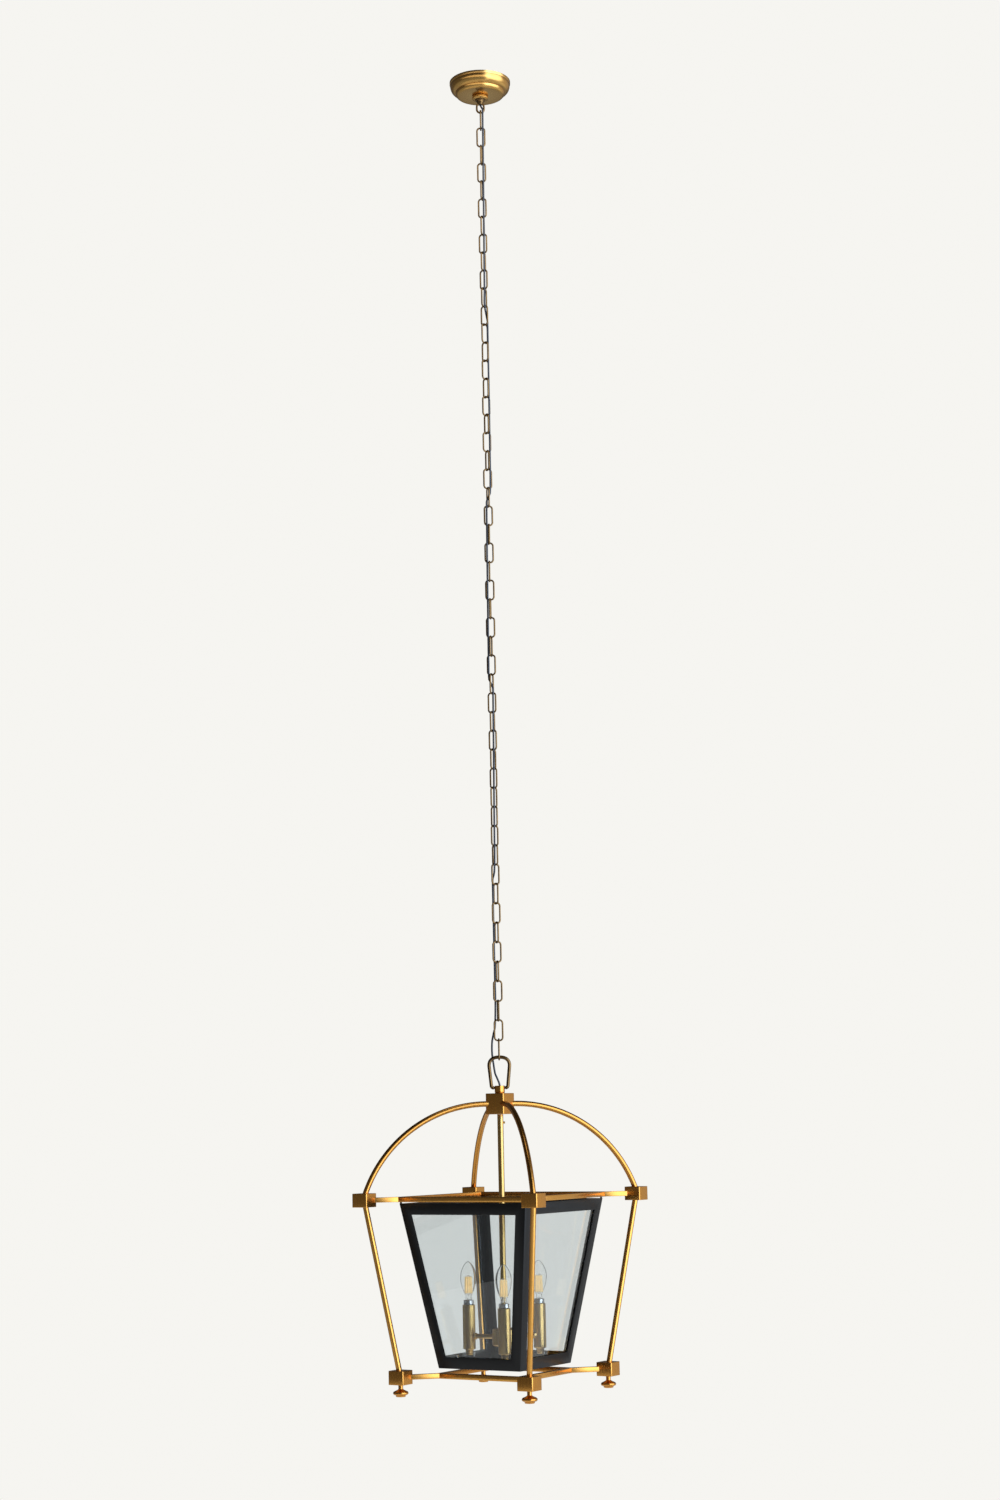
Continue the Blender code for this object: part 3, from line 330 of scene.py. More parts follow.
bulbGlass = glassFinish("BulbGlass", (0.990, 0.990, 0.985), (0.980, 0.982, 0.978), 1.15)
phosphor = coatedFinish("Phosphor", (0.90, 0.70, 0.38), (0.95, 0.78, 0.48), (0.4, 0.6), 900.0, 0.00005)
# painted glow: the filaments emit a faint warm light to brighten them, though the bulbs are not lit
paintedGlow = phosphor.node_tree.nodes["Principled BSDF"].inputs
paintedGlow["Emission Color"].default_value = (0.80, 0.60, 0.30, 1)
paintedGlow["Emission Strength"].default_value = 0.55
print("finishes")


# Shared shape work.


def faceOutwards(bm):
    # every closed shell in the mesh faces out, told by the volume that its faces enclose
    bmesh.ops.recalc_face_normals(bm, faces=bm.faces)
    waiting = set(bm.faces)
    while waiting:
        shell = {waiting.pop()}
        edge = list(shell)
        while edge:
            for side in edge.pop().edges:
                for face in side.link_faces:
                    if face in waiting:
                        waiting.discard(face)
                        shell.add(face)
                        edge.append(face)
        volume = 0.0
        for face in shell:
            first = face.verts[0].co
            for index in range(1, len(face.verts) - 1):
                volume += first.dot(face.verts[index].co.cross(face.verts[index + 1].co))
        if volume < 0:
            bmesh.ops.reverse_faces(bm, faces=list(shell))


def keepPiece(name, bm, finish, body, nodes=(), sharp=38.0):
    mesh = bpy.data.meshes.new(name)
    faceOutwards(bm)
    bm.to_mesh(mesh)
    bm.free()
    mesh.materials.append(finish)
    mesh.shade_smooth()
    mesh.set_sharp_from_angle(angle=math.radians(sharp))
    piece = bpy.data.objects.new(name, mesh)
    scene.collection.objects.link(piece)
    if body:
        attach(piece, body)
    if nodes:
        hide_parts(*nodes)
    return piece


def newShape():
    bm = bmesh.new()
    bm.verts.layers.float_vector.new("grain")
    return bm


def setGrain(bm, verts, rule):
    layer = bm.verts.layers.float_vector["grain"]
    for vert in verts:
        vert[layer] = rule(vert.co)


def softened(profile, reach, closed=False):
    # round the corners of an outline of (radius, height) points
    count = len(profile)
    rounded = []
    for index, point in enumerate(profile):
        here = Vector(point)
        if not closed and index in (0, count - 1):
            rounded.append(point)
            continue
        back = Vector(profile[index - 1]) - here
        ahead = Vector(profile[(index + 1) % count]) - here
        if back.length < 1e-7 or ahead.length < 1e-7 or back.angle(ahead) > math.radians(165):
            rounded.append(point)
            continue
        cut = min(reach, 0.42 * back.length, 0.42 * ahead.length)
        start = here + back.normalized() * cut
        end = here + ahead.normalized() * cut
        for share in (0.0, 0.5, 1.0):
            q = start * (1 - share) ** 2 + here * 2 * share * (1 - share) + end * share ** 2
            rounded.append((q.x, q.y))
    return rounded


def lathe(bm, profile, place=None, sides=48, closed=False, ribs=0, ribDepth=0.0):
    # turn (radius, height) points about Z; ribs knurl the outer rings
    place = place or Matrix()
    layer = bm.verts.layers.float_vector["grain"]
    widest = max(radius for radius, _ in profile)
    rings = []
    for radius, height in profile:
        ring = []
        for step in range(1 if radius < 1e-6 else sides):
            angle = 2 * halfTurn * step / sides
            reach = radius
            if ribs and radius > widest * 0.985:
                reach -= ribDepth * (0.5 + 0.5 * math.cos(angle * ribs))
            vert = bm.verts.new(place @ Vector((reach * math.cos(angle), reach * math.sin(angle), height)))
            vert[layer] = Vector((radius / mm * 0.9, height / mm * 0.9, 0.35 * math.sin(angle)))
            ring.append(vert)
        rings.append(ring)
    pairs = list(zip(rings, rings[1:]))
    if closed:
        pairs.append((rings[-1], rings[0]))
    for upper, lower in pairs:
        for step in range(sides):
            after = (step + 1) % sides
            if len(upper) == 1 and len(lower) > 1:
                bm.faces.new((upper[0], lower[step], lower[after]))
            elif len(lower) == 1 and len(upper) > 1:
                bm.faces.new((upper[step], lower[0], upper[after]))
            elif len(upper) > 1:
                bm.faces.new((upper[step], lower[step], lower[after], upper[after]))


def sweepRings(points, radius, sides, cyclic=False, shares=None, flat=None):
    count = len(points)
    rings = []
    side = None
    for index, point in enumerate(points):
        if cyclic:
            ahead = points[(index + 1) % count] - points[index - 1]
        else:
            ahead = points[min(index + 1, count - 1)] - points[max(index - 1, 0)]
        ahead = ahead.normalized()
        if flat:
            side = flat
        else:
            side = side or ahead.orthogonal()
            side = (side - ahead * side.dot(ahead)).normalized()
        over = ahead.cross(side).normalized()
        reach = radius * (shares[index] if shares else 1.0)
        angles = [2 * halfTurn * step / sides for step in range(sides)]
        rings.append([point + (side * math.cos(turn) + over * math.sin(turn)) * reach for turn in angles])
    return rings


def skinRings(bm, rings, cyclic=False, start=0.0):
    # a closed skin over rings of points, with flat ends; the grain runs along it
    layer = bm.verts.layers.float_vector["grain"]
    made = []
    run = start
    sides = len(rings[0])
    for index, ring in enumerate(rings):
        if index:
            run += (ring[0] - rings[index - 1][0]).length
        row = []
        for step, point in enumerate(ring):
            angle = 2 * halfTurn * step / sides
            vert = bm.verts.new(point)
            vert[layer] = Vector((3.2 * math.cos(angle), 3.2 * math.sin(angle), run / mm * 0.012))
            row.append(vert)
        made.append(row)
    pairs = list(zip(made, made[1:]))
    if cyclic:
        pairs.append((made[-1], made[0]))
    else:
        bm.faces.new(made[0])
        bm.faces.new(made[-1])
    for before, after in pairs:
        for step in range(sides):
            following = (step + 1) % sides
            bm.faces.new((before[step], before[following], after[following], after[step]))


def rod(bm, start, end, radius, sides=28, chamfer=0.0006):
    # straight round bar with eased ends
    start = Vector(start)
    end = Vector(end)
    along = (end - start).normalized() * chamfer
    points = [start, start + along, end - along, end]
    ease = 1 - chamfer / radius
    skinRings(bm, sweepRings(points, radius, sides, shares=[ease, 1, 1, ease]))


def roundedBox(bm, size, place, edge, grainAlong=2, segments=3, corner=0.0):
    made = bmesh.ops.create_cube(bm, size=1.0, matrix=Matrix.Diagonal((*size, 1.0)))
    verts = set(made["verts"])
    if corner:  # the upright edges are rounder than the rest
        upright = [e for e in {e for v in verts for e in v.link_edges}
                   if abs(e.verts[0].co.z - e.verts[1].co.z) > size[2] / 2]
        result = bmesh.ops.bevel(bm, geom=upright, offset=corner, segments=5, profile=0.5, affect="EDGES")
        verts = set(result["verts"]) | {v for v in verts if v.is_valid}
    edges = {e for v in verts for e in v.link_edges}
    if corner:
        edges = {e for e in edges if abs(e.verts[0].co.z - e.verts[1].co.z) < size[2] / 2}
    result = bmesh.ops.bevel(bm, geom=list(edges), offset=edge, segments=segments, profile=0.5,
                             affect="EDGES")
    verts = set(result["verts"]) | {v for v in verts if v.is_valid}
    stretch = [0.55 / mm] * 3
    stretch[grainAlong] = 0.02 / mm
    setGrain(bm, verts, lambda co: Vector(a * b for a, b in zip(co, stretch)))
    bmesh.ops.transform(bm, matrix=place, verts=list(verts))
    return verts


def diagonalPoint(signs, distance, height):
    return Vector((signs[0] * distance / math.sqrt(2), signs[1] * distance / math.sqrt(2), height))


def turnedFrame(height=0.0, turn=hangingTurn):
    return Matrix.Translation((0, 0, height)) @ Matrix.Rotation(turn, 4, "Z")


# Chain places, and the cord that runs beside them.

chain = {"links": 51, "length": 49.3 * mm, "width": 21.5 * mm, "wire": 3.8 * mm, "corner": 7.0 * mm,
         "twist": -halfTurn, "runs": (1, 2, 18, 35, 51), "weld": 1.0 * mm, "gap": 0.3 * mm,
         "loopWire": 4.5 * mm}
linkSpan = chain["length"] - chain["wire"]
loopBar = jointPlace("top_link_swing").z
pinLevel = jointPlace("lantern_swing").z


def linkPlaces():
    tops = [loopBar + (chain["loopWire"] + chain["wire"]) / 2 + chain["gap"]]
    for number in range(2, chain["links"] + 1):
        apart = chain["wire"] + chain["gap"] if number in chain["runs"] else chain["wire"] - chain["weld"]
        tops.append(tops[-1] - linkSpan + apart)
    return tops


linkTops = linkPlaces()
cord = {"radius": 2.1 * mm, "offset": 6.8 * mm, "inset": 3.0 * mm, "through": (12, 22, 32, 42),
        "crossing": 0.30, "start": -6.0 * mm, "coneEnd": -55.0 * mm, "neckTop": 4.3 * mm, "tail": 13.0 * mm}


def chainPlace(height):
    middles = [top - linkSpan / 2 for top in linkTops]
    if height >= middles[0]:
        return 1 - (height - middles[0]) / (middles[0] - middles[1])
    for index in range(chain["links"] - 1):
        if height >= middles[index + 1]:
            return index + 1 + (middles[index] - height) / (middles[index] - middles[index + 1])
    return chain["links"] + (middles[-1] - height) / (middles[-2] - middles[-1])


def smooth(amount):
    amount = min(1.0, max(0.0, amount))
    return amount * amount * (3 - 2 * amount)


def besideChain(height):
    # the cord lies between two link planes, and now and then goes through a link
    place = chainPlace(height)
    side = -1.0
    nearer = 0.0
    for index, number in enumerate(cord["through"]):
        crossing = smooth((place - number) / (2 * cord["crossing"]) + 0.5)
        side += 2.0 * crossing if index % 2 == 0 else -2.0 * crossing
        nearer += 4 * crossing * (1 - crossing)
    angle = chain["twist"] * (place - 1) / (chain["links"] - 1) + side * halfTurn / 4
    offset = cord["offset"] - cord["inset"] * nearer
    return Vector((offset * math.cos(angle), offset * math.sin(angle), height))


def cordRoute():
    leave = cord["coneEnd"] + 0.5 * mm
    beside = loopBar + 5.0 * mm
    route = [Vector((0, 0, level)) for level in (cord["start"], (cord["start"] + leave) / 2, leave)]
    aside = besideChain(beside)
    for step in range(1, 6):
        share = step / 6
        out = smooth(share)
        route.append(Vector((aside.x * out, aside.y * out, leave + (beside - leave) * share)))
    place = chainPlace(beside)
    while place < chain["links"] - 2.0:
        index = min(chain["links"], max(1, int(place)))
        middle = linkTops[index - 1] - linkSpan / 2
        pitch = linkSpan - chain["wire"] + chain["weld"]
        route.append(besideChain(middle - (place - index) * pitch))
        near = min(abs(place - number) for number in cord["through"])
        place += 0.12 if near < cord["crossing"] + 0.06 else 0.85
    crown = jointPlace("stirrup_swing").z + (chain["wire"] + stirrup["rod"]) / 2 + chain["gap"]
    mouth = pinLevel + cord["neckTop"]
    behind = stirrup["rod"] / 2 + cord["radius"] + 0.8 * mm
    for x, y, level in ((-7.6, 5.2, 66), (-11.4, 5.6, 50), (-14.2, 5.9, 36), (-15.2, 6.3, 22)):
        route.append(Vector((x * mm, y * mm, crown + level * mm)))
    for x, y, level in ((-15.0, behind, 9), (-14.2, behind, -2), (-12.6, behind - 0.6 * mm, -13)):
        route.append(Vector((x * mm, y, crown + level * mm)))
    for x, y, level in ((-9.4, 4.2, 27), (-5.4, 2.2, 17), (-2.2, 0.8, 9), (-0.5, 0.1, 4), (0, 0, 0)):
        route.append(Vector((x * mm, y * mm, mouth + level * mm)))
    route.append(Vector((0, 0, mouth - cord["tail"])))
    return route


def throughPoints(route, spacing):
    # a smooth line through the route's points
    line = []
    count = len(route)
    for index in range(count - 1):
        before = route[max(index - 1, 0)]
        here = route[index]
        there = route[index + 1]
        after = route[min(index + 2, count - 1)]
        span = (there - here).length
        leave = (there - before) * span / max((there - before).length, 1e-9)
        arrive = (after - here) * span / max((after - here).length, 1e-9)
        steps = max(1, math.ceil(span / spacing))
        for step in range(steps):
            t = step / steps
            line.append(here * (2 * t ** 3 - 3 * t ** 2 + 1) + leave * (t ** 3 - 2 * t ** 2 + t)
                        + there * (3 * t ** 2 - 2 * t ** 3) + arrive * (t ** 3 - t ** 2))
    line.append(route[-1])
    return line


stirrup = {"rod": 7.5 * mm, "width": 52.0 * mm, "crown": 22.2 * mm, "footWidth": 43.5 * mm, "square": 2.4,
           "pinRadius": 2.8 * mm, "pinTip": 6.6 * mm, "bend": 4.4 * mm}

# each stretch of cord crosses one joint: its upper body, lower body, the joint, and the room the bend takes
cordStretches = (("CordTop", "ceiling_fixing", "top_link", "top_link_swing", 0.013, -0.0950),
                 ("CordUpperLink", "top_link", "chain_upper", "chain_upper_swing", 0.015, -0.4500),
                 ("CordUpper", "chain_upper", "chain_middle", "chain_middle_swing", 0.020, -1.1600),
                 ("CordMiddle", "chain_middle", "chain_lower", "chain_lower_swing", 0.020, -1.8600),
                 ("CordLower", "chain_lower", "bottom_link", "bottom_link_swing", 0.016, -2.2245),
                 ("CordEnd", "bottom_link", "lantern_loop", "stirrup_swing", 0.016, -2.2780),
                 ("CordFoot", "lantern_loop", "lantern", "lantern_swing", 0.016, -9.0))


def makeCord():
    turn = Matrix.Rotation(hangingTurn, 4, "Z")
    line = [turn @ point for point in throughPoints(cordRoute(), 5.0 * mm)]
    rings = sweepRings(line, cord["radius"], 20)
    first = 0
    for name, above, below, joint, room, until in cordStretches:
        last = first + 1
        while last < len(line) - 1 and line[last].z > until:
            last += 1
        bm = newShape()
        skinRings(bm, rings[first:last + 1], start=first * 5.0 * mm)
        stretch = keepPiece(name, bm, cordJacket, None, ["power_cord"])
        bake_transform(stretch)
        first = last


makeCord()
print("cord")


# Canopy, collar and loop.

canopy = {"radius": 70.0, "lip": 6.8, "step": 1.2, "grooveRadius": 57.0, "grooveDepth": 25.4,
          "floorRadius": 48.6, "depth": 34.4, "hole": 11.5, "wall": 1.0, "collarRadius": 18.5, "ribs": 36}


def makeCanopy():
    wide = canopy["radius"]
    lip = canopy["lip"]
    band = wide - canopy["step"]
    groove = canopy["grooveDepth"]
    outer = [(wide - 0.3, 0.0), (wide, -0.35), (wide, -lip + 1.2), (wide - 0.35, -lip + 0.35), (band, -lip)]
    rolls = ((band, canopy["grooveRadius"], lip + 2.4, groove),
             (canopy["grooveRadius"] - 0.4, canopy["floorRadius"], groove + 1.6, canopy["depth"]))
    for start, end, top, bottom in rolls:
        for step in range(13):
            angle = halfTurn / 2 * step / 12
            outer.append((end + (start - end) * math.cos(angle), -top - (bottom - top) * math.sin(angle)))
    outer.append((canopy["hole"], -canopy["depth"]))
    inner = []
    for index in range(len(outer) - 1, -1, -1):  # the same line, one wall inside it
        here = Vector(outer[index])
        ahead = Vector(outer[min(index + 1, len(outer) - 1)]) - Vector(outer[max(index - 1, 0)])
        side = Vector((ahead.y, -ahead.x)).normalized() * canopy["wall"]
        inner.append((max(canopy["hole"], here.x + side.x), min(0.0, here.y + abs(side.y))))
    bm = newShape()
    lathe(bm, [(r * mm, z * mm) for r, z in outer + inner], sides=128, closed=True)
    keepPiece("CanopyShell", bm, spunBrass, "canopy", ["canopy"])

    top = topOf("canopy_collar")
    low = bottomOf("canopy_collar")
    wide = canopy["collarRadius"] * mm
    bore = canopy["hole"] * mm
    ring = [(wide - 2.6 * mm, top), (wide - 1.4 * mm, top - 0.5 * mm), (wide - 1.2 * mm, top - 1.6 * mm),
            (wide, top - 2.2 * mm), (wide, low + 2.4 * mm), (wide - 1.2 * mm, low + 1.6 * mm),
            (wide - 2.4 * mm, low + 1.2 * mm), (wide - 4.2 * mm, low), (bore + 1.0 * mm, low),
            (bore, low + 0.8 * mm), (bore, top)]
    bm = newShape()
    lathe(bm, softened(ring, 0.4 * mm, closed=True), sides=288, closed=True, ribs=canopy["ribs"],
          ribDepth=0.5 * mm)
    keepPiece("CanopyCollar", bm, spunBrass, "collar", ["canopy_collar"])


loop = {"thread": 11.0, "neckTop": -20.0, "threadEnd": -46.3, "coneTop": 8.6, "coneFoot": 5.2,
        "coneEnd": -55.0, "wire": 4.5, "width": 21.0, "hole": 2.6, "nippleHole": 5.3, "nippleFloor": -30.5}


def makeCanopyLoop():
    bm = newShape()
    profile = [(loop["thread"] - 0.8, loop["neckTop"])]
    for step in range(13):  # the thread's crests
        level = loop["neckTop"] - 0.8 - step * 2.0
        for inward, drop in ((0, 0), (0, 0.7), (0.6, 1.0), (0.6, 1.6)):
            profile.append((loop["thread"] - inward, level - drop))
    profile = [point for point in profile if point[1] > loop["threadEnd"]]
    profile += [(loop["thread"] - 0.6, loop["threadEnd"]), (loop["coneTop"], loop["threadEnd"]),
                (loop["coneTop"] - 0.2, loop["threadEnd"] - 2.2),
                (loop["coneFoot"] + 0.9, loop["coneEnd"] + 2.4),
                (loop["coneFoot"], loop["coneEnd"]), (loop["hole"], loop["coneEnd"]),
                (loop["hole"], loop["nippleFloor"]), (loop["nippleHole"], loop["nippleFloor"]),
                (loop["nippleHole"], loop["neckTop"])]
    lathe(bm, [(r * mm, z * mm) for r, z in softened(profile, 0.5, closed=True)], closed=True)
    half = (loop["width"] - loop["wire"]) / 2 * mm
    upper = (loop["coneEnd"] + loop["wire"] * 0.7) * mm - half
    turn = turnedFrame()
    points = []
    for step in range(40):
        angle = 2 * halfTurn * (step + 0.5) / 40
        centre = upper if math.sin(angle) > 0 else loopBar + half
        points.append(turn @ Vector((half * math.cos(angle), 0, centre + half * math.sin(angle))))
    skinRings(bm, sweepRings(points, loop["wire"] * mm / 2, 20, cyclic=True, flat=awayFromView), cyclic=True)
    keepPiece("CanopyLoop", bm, chainBrass, "ceiling_fixing", ["canopy_loop"])


makeCanopy()
makeCanopyLoop()
for name in ("mounting_strap", "strap_screw_1", "strap_screw_2", "threaded_nipple", "lock_nut"):
    frame["nodes"][name].material_slots[0].material = zincSteel
print("canopy")


# Chain.


def linkLine():
    half = (chain["width"] - chain["wire"]) / 2
    corner = chain["corner"]
    ease = chain["weld"] / 2
    points = []
    for quarter, (sign, low) in enumerate(((1, False), (-1, False), (-1, True), (1, True))):
        level = -linkSpan + corner + ease if low else -corner - ease
        for step in range(8):
            angle = halfTurn / 2 * (quarter + step / 7)
            across = sign * (half - corner) + corner * math.cos(angle)
            points.append((across, level + corner * math.sin(angle)))
    return points


def makeChain():
    names = {"ChainTopLink": "top_link", "ChainUpper": "chain_upper", "ChainMiddle": "chain_middle",
             "ChainLower": "chain_lower", "ChainEndLink": "bottom_link"}
    ends = chain["runs"][1:] + (chain["links"] + 1,)
    outline = linkLine()
    for (name, node), first, end in zip(names.items(), chain["runs"], ends):
        bm = newShape()
        for number in range(first, end):
            turn = hangingTurn + (halfTurn / 2 if number % 2 else 0.0)
            turn += chain["twist"] * (number - 1) / (chain["links"] - 1)
            flat = Vector((-math.sin(turn), math.cos(turn), 0))
            top = linkTops[number - 1]
            points = [Vector((x * math.cos(turn), x * math.sin(turn), top + z)) for x, z in outline]
            skinRings(bm, sweepRings(points, chain["wire"] / 2, 14, cyclic=True, flat=flat), cyclic=True)
        keepPiece(name, bm, chainBrass, node, [node])


makeChain()
print("chain")


# Stirrup, neck and top block.


def stirrupLine():
    half = (stirrup["width"] - stirrup["rod"]) / 2
    foot = (stirrup["footWidth"] - stirrup["rod"]) / 2
    top = topOf("lantern_loop")
    thin = stirrup["pinRadius"] / (stirrup["rod"] / 2)
    bend = stirrup["bend"]
    line = [(stirrup["pinTip"], pinLevel, thin), (foot - 5.6 * mm, pinLevel, thin),
            (foot - 5.2 * mm, pinLevel, 0.95), (foot - 4.6 * mm, pinLevel, 1.0)]
    for step in range(1, 7):  # the bend at the foot
        angle = halfTurn / 2 * step / 6
        line.append((foot - bend + bend * math.sin(angle), pinLevel + bend * (1 - math.cos(angle)), 1.0))
    steps = 26
    for step in range(steps):
        angle = halfTurn / 2 * step / (steps - 1)
        power = 2 / stirrup["square"]
        x = half * max(0.0, math.cos(angle)) ** power
        z = top - stirrup["crown"] + (stirrup["crown"] - stirrup["rod"] / 2) * math.sin(angle) ** power
        line.append((x, z, 1.0))
    return line


def makeStirrup():
    half = stirrupLine()
    whole = half + [(-x, z, thin) for x, z, thin in reversed(half[:-1])]
    turn = turnedFrame()
    points = [turn @ Vector((x, 0, z)) for x, z, _ in whole]
    bm = newShape()
    shares = [thin for _, _, thin in whole]
    skinRings(bm, sweepRings(points, stirrup["rod"] / 2, 24, shares=shares, flat=awayFromView))
    keepPiece("Stirrup", bm, chainBrass, "lantern_loop", ["lantern_loop"])


block = {"side": 46.0 * mm, "height": 45.0 * mm, "edge": 0.8 * mm, "corner": 3.0 * mm,
         "neckRadius": 11.0 * mm, "neckHole": 2.6 * mm}


def makeTopBlock():
    bm = newShape()
    level = middleOf("top_block")
    place = Matrix.Translation((0, 0, level))
    roundedBox(bm, (block["side"], block["side"], block["height"]), place, block["edge"],
               corner=block["corner"])
    keepPiece("TopBlock", bm, agedBrass, "lantern", ["top_block"])
    top = topOf("neck_block")
    low = bottomOf("neck_block")
    wide = block["neckRadius"]
    profile = [(0, top - 14 * mm), (block["neckHole"], top - 14 * mm), (block["neckHole"], top), (wide, top),
               (wide, low + 2.2 * mm), (wide - 0.6 * mm, low + 1.6 * mm), (wide - 0.6 * mm, low), (0, low)]
    bm = newShape()
    lathe(bm, softened(profile, 0.7 * mm))
    keepPiece("NeckBlock", bm, agedBrass, "lantern", ["neck_block"])


makeStirrup()
makeTopBlock()
print("stirrup and top block")


# Cage: dome rods, posts, blocks, feet and rings.

cage = {"topSide": 425.0 * mm, "bottomSide": 321.2 * mm, "blockSide": 38.0 * mm, "blockHeight": 29.0 * mm,
        "rod": 6.0 * mm, "arcInset": 2.8 * mm, "socket": 8.0 * mm, "bar": 11.0 * mm, "topRing": 330.0 * mm,
        "bottomRing": 212.0 * mm, "arm": 10.6 * mm, "armSocket": 7.0 * mm, "blockEdge": 0.7 * mm,
        "blockCorner": 3.0 * mm, "barEdge": 0.6 * mm}
upperLevel = middleOf("top_ring")
lowerLevel = middleOf("bottom_ring")
blockLevel = middleOf("top_block")
upperReach = cage["topSide"] / math.sqrt(2)
lowerReach = cage["bottomSide"] / math.sqrt(2)


def makeDome(corner, signs):
    start = block["side"] / math.sqrt(2)
    across = upperReach - cage["arcInset"] - start
    down = blockLevel - upperLevel - cage["blockHeight"] / 2
    radius = (across ** 2 + down ** 2) / (2 * down)
    last = math.asin(across / radius) if down < radius else halfTurn - math.asin(across / radius)
    points = [diagonalPoint(signs, start - cage["socket"], blockLevel)]
    for step in range(49):
        angle = last * step / 48
        points.append(diagonalPoint(signs, start + radius * math.sin(angle),
                                    blockLevel - radius * (1 - math.cos(angle))))
    ahead = (points[-1] - points[-2]).normalized()
    points.append(points[-1] + ahead * cage["socket"])
    across = Vector((-signs[1], signs[0], 0)).normalized()
    bm = newShape()
    skinRings(bm, sweepRings(points, cage["rod"], 28, flat=across))
    keepPiece("DomeRod_" + corner, bm, agedBrass, "lantern", ["arc_" + corner])


def makePost(corner, signs):
    top = diagonalPoint(signs, upperReach, upperLevel)
    foot = diagonalPoint(signs, lowerReach, lowerLevel)
    along = (foot - top) / (upperLevel - lowerLevel)
    inside = cage["blockHeight"] / 2 - cage["socket"]
    bm = newShape()
    rod(bm, top + along * inside, foot - along * inside, cage["rod"])
    keepPiece("Post_" + corner, bm, agedBrass, "lantern", ["post_" + corner])


def makeCornerBlock(name, signs, reach, level, node):
    bm = newShape()
    place = Matrix.Translation(diagonalPoint(signs, reach, level))
    roundedBox(bm, (cage["blockSide"], cage["blockSide"], cage["blockHeight"]), place, cage["blockEdge"],
               corner=cage["blockCorner"])
    keepPiece(name, bm, agedBrass, "lantern", [node])


foot = {"stem": 5.0, "stemHeight": 8.0, "radius": 16.3, "height": 17.5, "socket": 5.5}


def makeFoot(corner, signs):
    neck = foot["stem"]
    stem = -foot["stemHeight"]
    base = stem - foot["height"]
    wide = foot["radius"]
    profile = [(0, foot["socket"]), (neck, foot["socket"]), (neck, stem), (neck + 0.2, stem - 1.6),
               (neck + 2.2, stem - 3.0), (wide * 0.62, stem - 4.4), (wide - 2.4, stem - 6.0),
               (wide - 0.5, stem - 7.4), (wide, stem - 9.0), (wide - 0.2, stem - 11.4),
               (wide - 1.6, stem - 12.9), (wide - 4.4, stem - 13.8), (wide - 5.6, stem - 14.2),
               (wide - 5.8, base + 1.0), (wide - 6.8, base), (0, base)]
    bm = newShape()
    place = Matrix.Translation(diagonalPoint(signs, lowerReach, lowerLevel - cage["blockHeight"] / 2))
    lathe(bm, softened([(r * mm, z * mm) for r, z in profile], 0.6 * mm), place, sides=56)
    keepPiece("Foot_" + corner, bm, agedBrass, "lantern", ["foot_" + corner])


def makeRing(name, side, level, reach, node):
    bm = newShape()
    bar = cage["bar"]
    rings = []
    for sx, sy in cageCorners.values():
        section = ((side / 2, bar / 2), (side / 2, -bar / 2), (side / 2 - bar, -bar / 2),
                   (side / 2 - bar, bar / 2))
        rings.append([bm.verts.new((sx * half, sy * half, level + rise)) for half, rise in section])
    for index in range(4):
        here = rings[index]
        there = rings[(index + 1) % 4]
        for step in range(4):
            after = (step + 1) % 4
            bm.faces.new((here[step], here[after], there[after], there[step]))
    bmesh.ops.bevel(bm, geom=list(bm.edges), offset=cage["barEdge"], segments=2, profile=0.5,
                    affect="EDGES")
    setGrain(bm, bm.verts, lambda co: Vector((co.x * 40, co.y * 40, co.z / mm * 0.5)))
    start = (side / 2 - bar / 2) * math.sqrt(2)
    end = reach - cage["blockSide"] / math.sqrt(2) + cage["armSocket"]
    for signs in cageCorners.values():
        turn = Matrix.Rotation(math.atan2(signs[1], signs[0]), 4, "Z")
        place = Matrix.Translation(diagonalPoint(signs, (start + end) / 2, level)) @ turn
        roundedBox(bm, (end - start, cage["arm"], cage["arm"]), place, cage["barEdge"], grainAlong=0)
    keepPiece(name, bm, agedBrass, "lantern", [node])


for corner, signs in cageCorners.items():
    makeDome(corner, signs)
    makePost(corner, signs)
    makeCornerBlock("UpperBlock_" + corner, signs, upperReach, upperLevel, "top_corner_block_" + corner)
    makeCornerBlock("LowerBlock_" + corner, signs, lowerReach, lowerLevel, "bottom_corner_block_" + corner)
    makeFoot(corner, signs)
makeRing("UpperRing", cage["topRing"], upperLevel, upperReach, "top_ring")
makeRing("LowerRing", cage["bottomRing"], lowerLevel, lowerReach, "bottom_ring")
print("cage")


# Glass box.

box = {"topSide": 317.8 * mm, "bottomSide": 204.4 * mm, "underRing": 3.0 * mm, "overRing": 10.0 * mm,
       "wall": 2.5 * mm, "leg": 24.0 * mm, "flange": 14.0 * mm, "glass": 3.0 * mm, "overlap": 8.0 * mm,
       "edge": 0.5 * mm, "stud": 2.3 * mm, "tabWidth": 8.0 * mm, "tabThick": 1.2 * mm, "tabSpacing": 0.32}
boxTop = upperLevel - cage["bar"] / 2 - box["underRing"]
boxBottom = lowerLevel + cage["bar"] / 2 + box["overRing"]
boxTilt = math.atan2((box["topSide"] - box["bottomSide"]) / 2, boxTop - boxBottom)


def boxHalf(height):
    share = (height - boxBottom) / (boxTop - boxBottom)
    return (box["bottomSide"] + (box["topSide"] - box["bottomSide"]) * share) / 2


def wallBlock(inset, low, high, depth=None):
    # a block between two levels that tapers with the walls, inset from their outer faces
    bm = bmesh.new()
    for vert in bmesh.ops.create_cube(bm, size=2.0)["verts"]:
        height = high if vert.co.z > 0 else low
        half = boxHalf(height) - inset
        vert.co = Vector((vert.co.x * half, vert.co.y * (depth or half), height))
    return bm


def looseObject(name, bm):
    mesh = bpy.data.meshes.new(name)
    bm.to_mesh(mesh)
    bm.free()
    thing = bpy.data.objects.new(name, mesh)
    scene.collection.objects.link(thing)
    return thing


